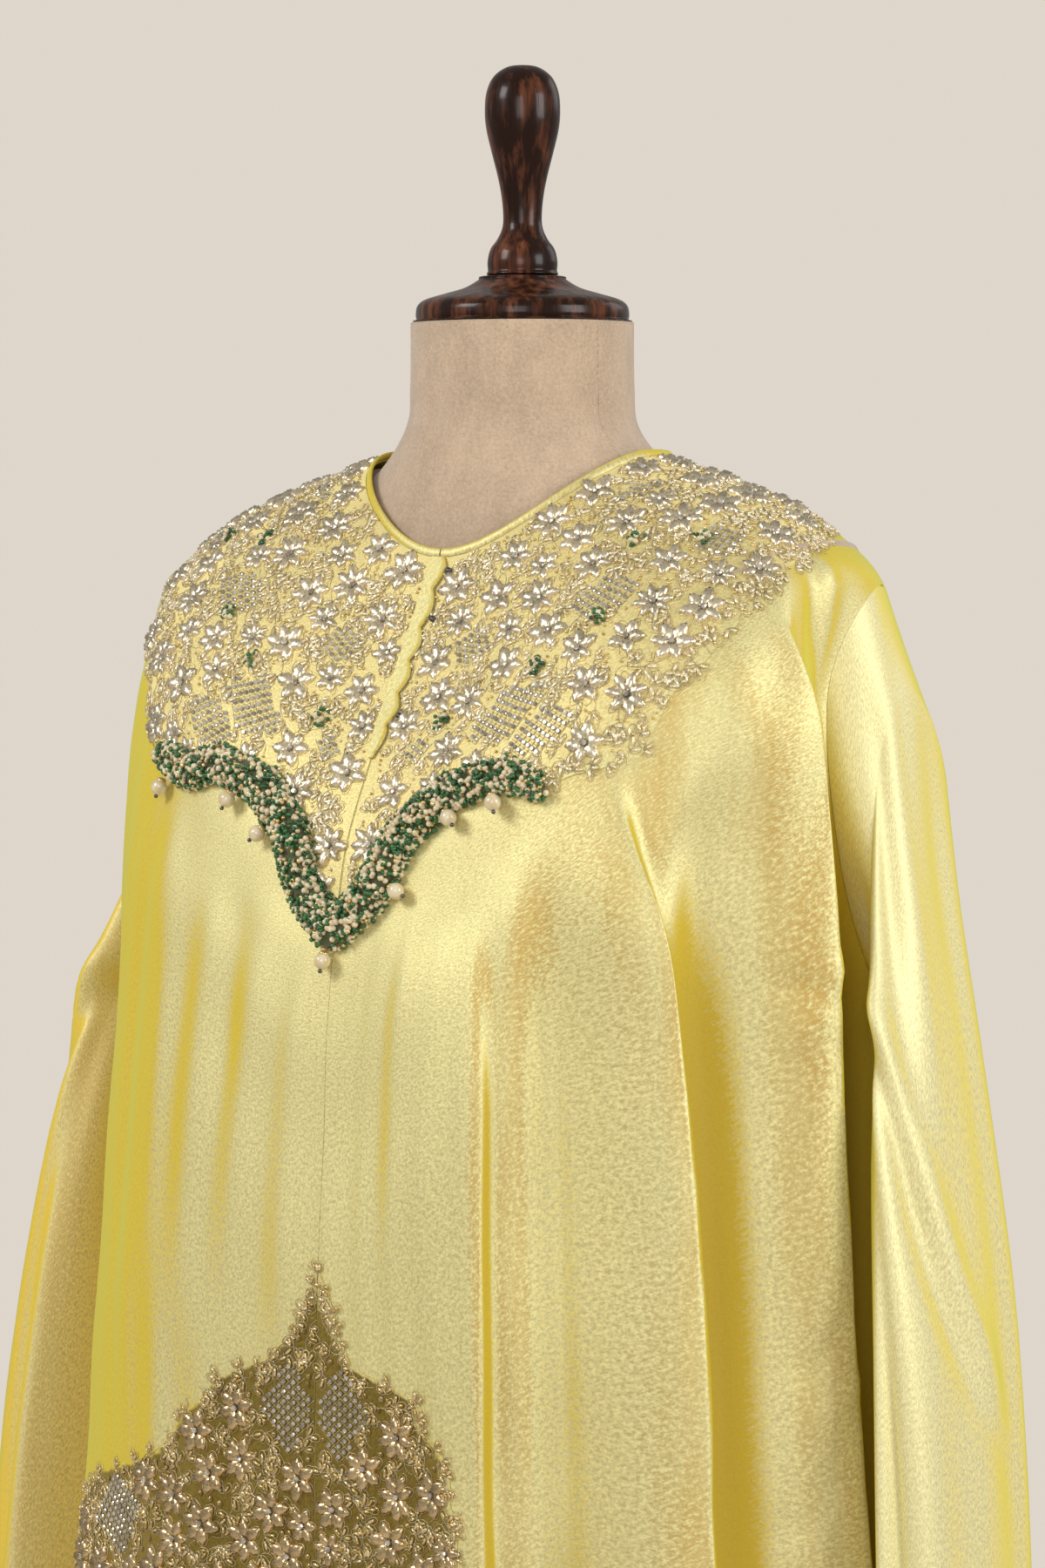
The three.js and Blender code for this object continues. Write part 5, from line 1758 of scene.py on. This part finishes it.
class KAFTAN_OT_stage(KaftanOperator):
    """Make the floor, room, lights and camera"""

    bl_idname = "kaftan.stage"
    bl_label = "Stage"

    def make(self, sizes):
        self.floor()
        self.room(bpy.context.scene)
        self.lights()
        self.camera()

    def floor(self):
        """A round pale floor, seen only from above and behind."""
        bm = bmesh.new()
        bmesh.ops.create_circle(bm, cap_ends=True, segments=96, radius=3.0)
        mesh = bpy.data.meshes.new("floor")
        bm.to_mesh(mesh)
        bm.free()
        made = mesh_object("floor", mesh)
        made.data.materials.append(look("stage"))

    def room(self, scene):
        """Soft light from all round, and the plain pale wall that the camera sees."""
        world = bpy.data.worlds.new("Room")
        world.use_nodes = True
        tree = world.node_tree
        light = tree.nodes["Background"]
        light.inputs["Color"].default_value = (1.0, 0.97, 0.93, 1)
        light.inputs["Strength"].default_value = 0.36
        wall = tree.nodes.new("ShaderNodeBackground")
        wall.inputs["Color"].default_value = (*bpy.context.scene.kaftan_colours.wall, 1)
        seen = tree.nodes.new("ShaderNodeLightPath")
        either = tree.nodes.new("ShaderNodeMixShader")
        tree.links.new(seen.outputs["Is Camera Ray"], either.inputs[0])
        tree.links.new(light.outputs[0], either.inputs[1])
        tree.links.new(wall.outputs[0], either.inputs[2])
        tree.links.new(either.outputs[0], tree.nodes["World Output"].inputs["Surface"])
        scene.world = world

    def lights(self):
        scene = bpy.context.scene
        scene.view_settings.view_transform = "Standard"
        # name, azimuth from the front, height, distance, size, watts, and what it is aimed at
        for name, azimuth, height, distance, size, power, aim in (
            ("key", -30, 2.6, 2.3, 0.9, 32, (0, 0, 1.2)),
            ("fill", 92, 2.0, 2.6, 1.2, 36, (0, 0, 1.1)),
            ("front", 28, 1.9, 3.2, 1.2, 22, (0, 0, 1.1)),
            ("rim", 160, 2.4, 2.4, 1.2, 6, (0, 0, 1.2)),
        ):
            lamp = bpy.data.lights.new(name, "AREA")
            lamp.energy, lamp.size = power, size
            made = bpy.data.objects.new(name, lamp)
            turn = math.radians(azimuth)
            made.location = (distance * math.sin(turn), -distance * math.cos(turn), height)
            made.rotation_euler = (Vector(aim) - made.location).to_track_quat("-Z", "Y").to_euler()
            scene.collection.objects.link(made)

    def camera(self):
        yaw, distance, height, pitch = math.radians(35), 2.5, 1.41, math.radians(3.2)
        data = bpy.data.cameras.new("camera")
        data.lens, data.sensor_width = 111, 36
        made = bpy.data.objects.new("camera", data)
        made.location = (distance * math.sin(yaw), -distance * math.cos(yaw), height)
        made.rotation_euler = (math.pi / 2 - pitch, 0, yaw)
        bpy.context.scene.collection.objects.link(made)
        bpy.context.scene.camera = made


STEPS = (
    KAFTAN_OT_stage,
    KAFTAN_OT_panels,
    KAFTAN_OT_sleeves,
    KAFTAN_OT_yoke,
    KAFTAN_OT_medallion,
    KAFTAN_OT_trim,
    KAFTAN_OT_placket,
    KAFTAN_OT_form,
    KAFTAN_OT_stand,
)


class KAFTAN_PT_panel(bpy.types.Panel):
    """Lists the kaftan's pieces in the sidebar"""

    bl_idname = "KAFTAN_PT_panel"
    bl_label = "Kaftan"
    bl_space_type = "VIEW_3D"
    bl_region_type = "UI"
    bl_category = "Kaftan"

    def draw(self, context):
        for step in STEPS:
            self.layout.operator(step.bl_idname, text=step.bl_label)
        for group in (context.scene.kaftan_sizes, context.scene.kaftan_colours):
            for name in group.bl_rna.properties.keys():
                if name not in ("rna_type", "name"):
                    self.layout.prop(group, name)


CLASSES = (KaftanSizes, KaftanColours, *STEPS, KAFTAN_PT_panel)


def register():
    for kind in CLASSES:
        bpy.utils.register_class(kind)
    bpy.types.Scene.kaftan_sizes = PointerProperty(type=KaftanSizes)
    bpy.types.Scene.kaftan_colours = PointerProperty(type=KaftanColours)


def unregister():
    del bpy.types.Scene.kaftan_colours
    del bpy.types.Scene.kaftan_sizes
    for kind in reversed(CLASSES):
        bpy.utils.unregister_class(kind)


def main():
    register()
    for step in STEPS:
        group, name = step.bl_idname.split(".")
        getattr(getattr(bpy.ops, group), name)()


if __name__ == "__main__":
    main()
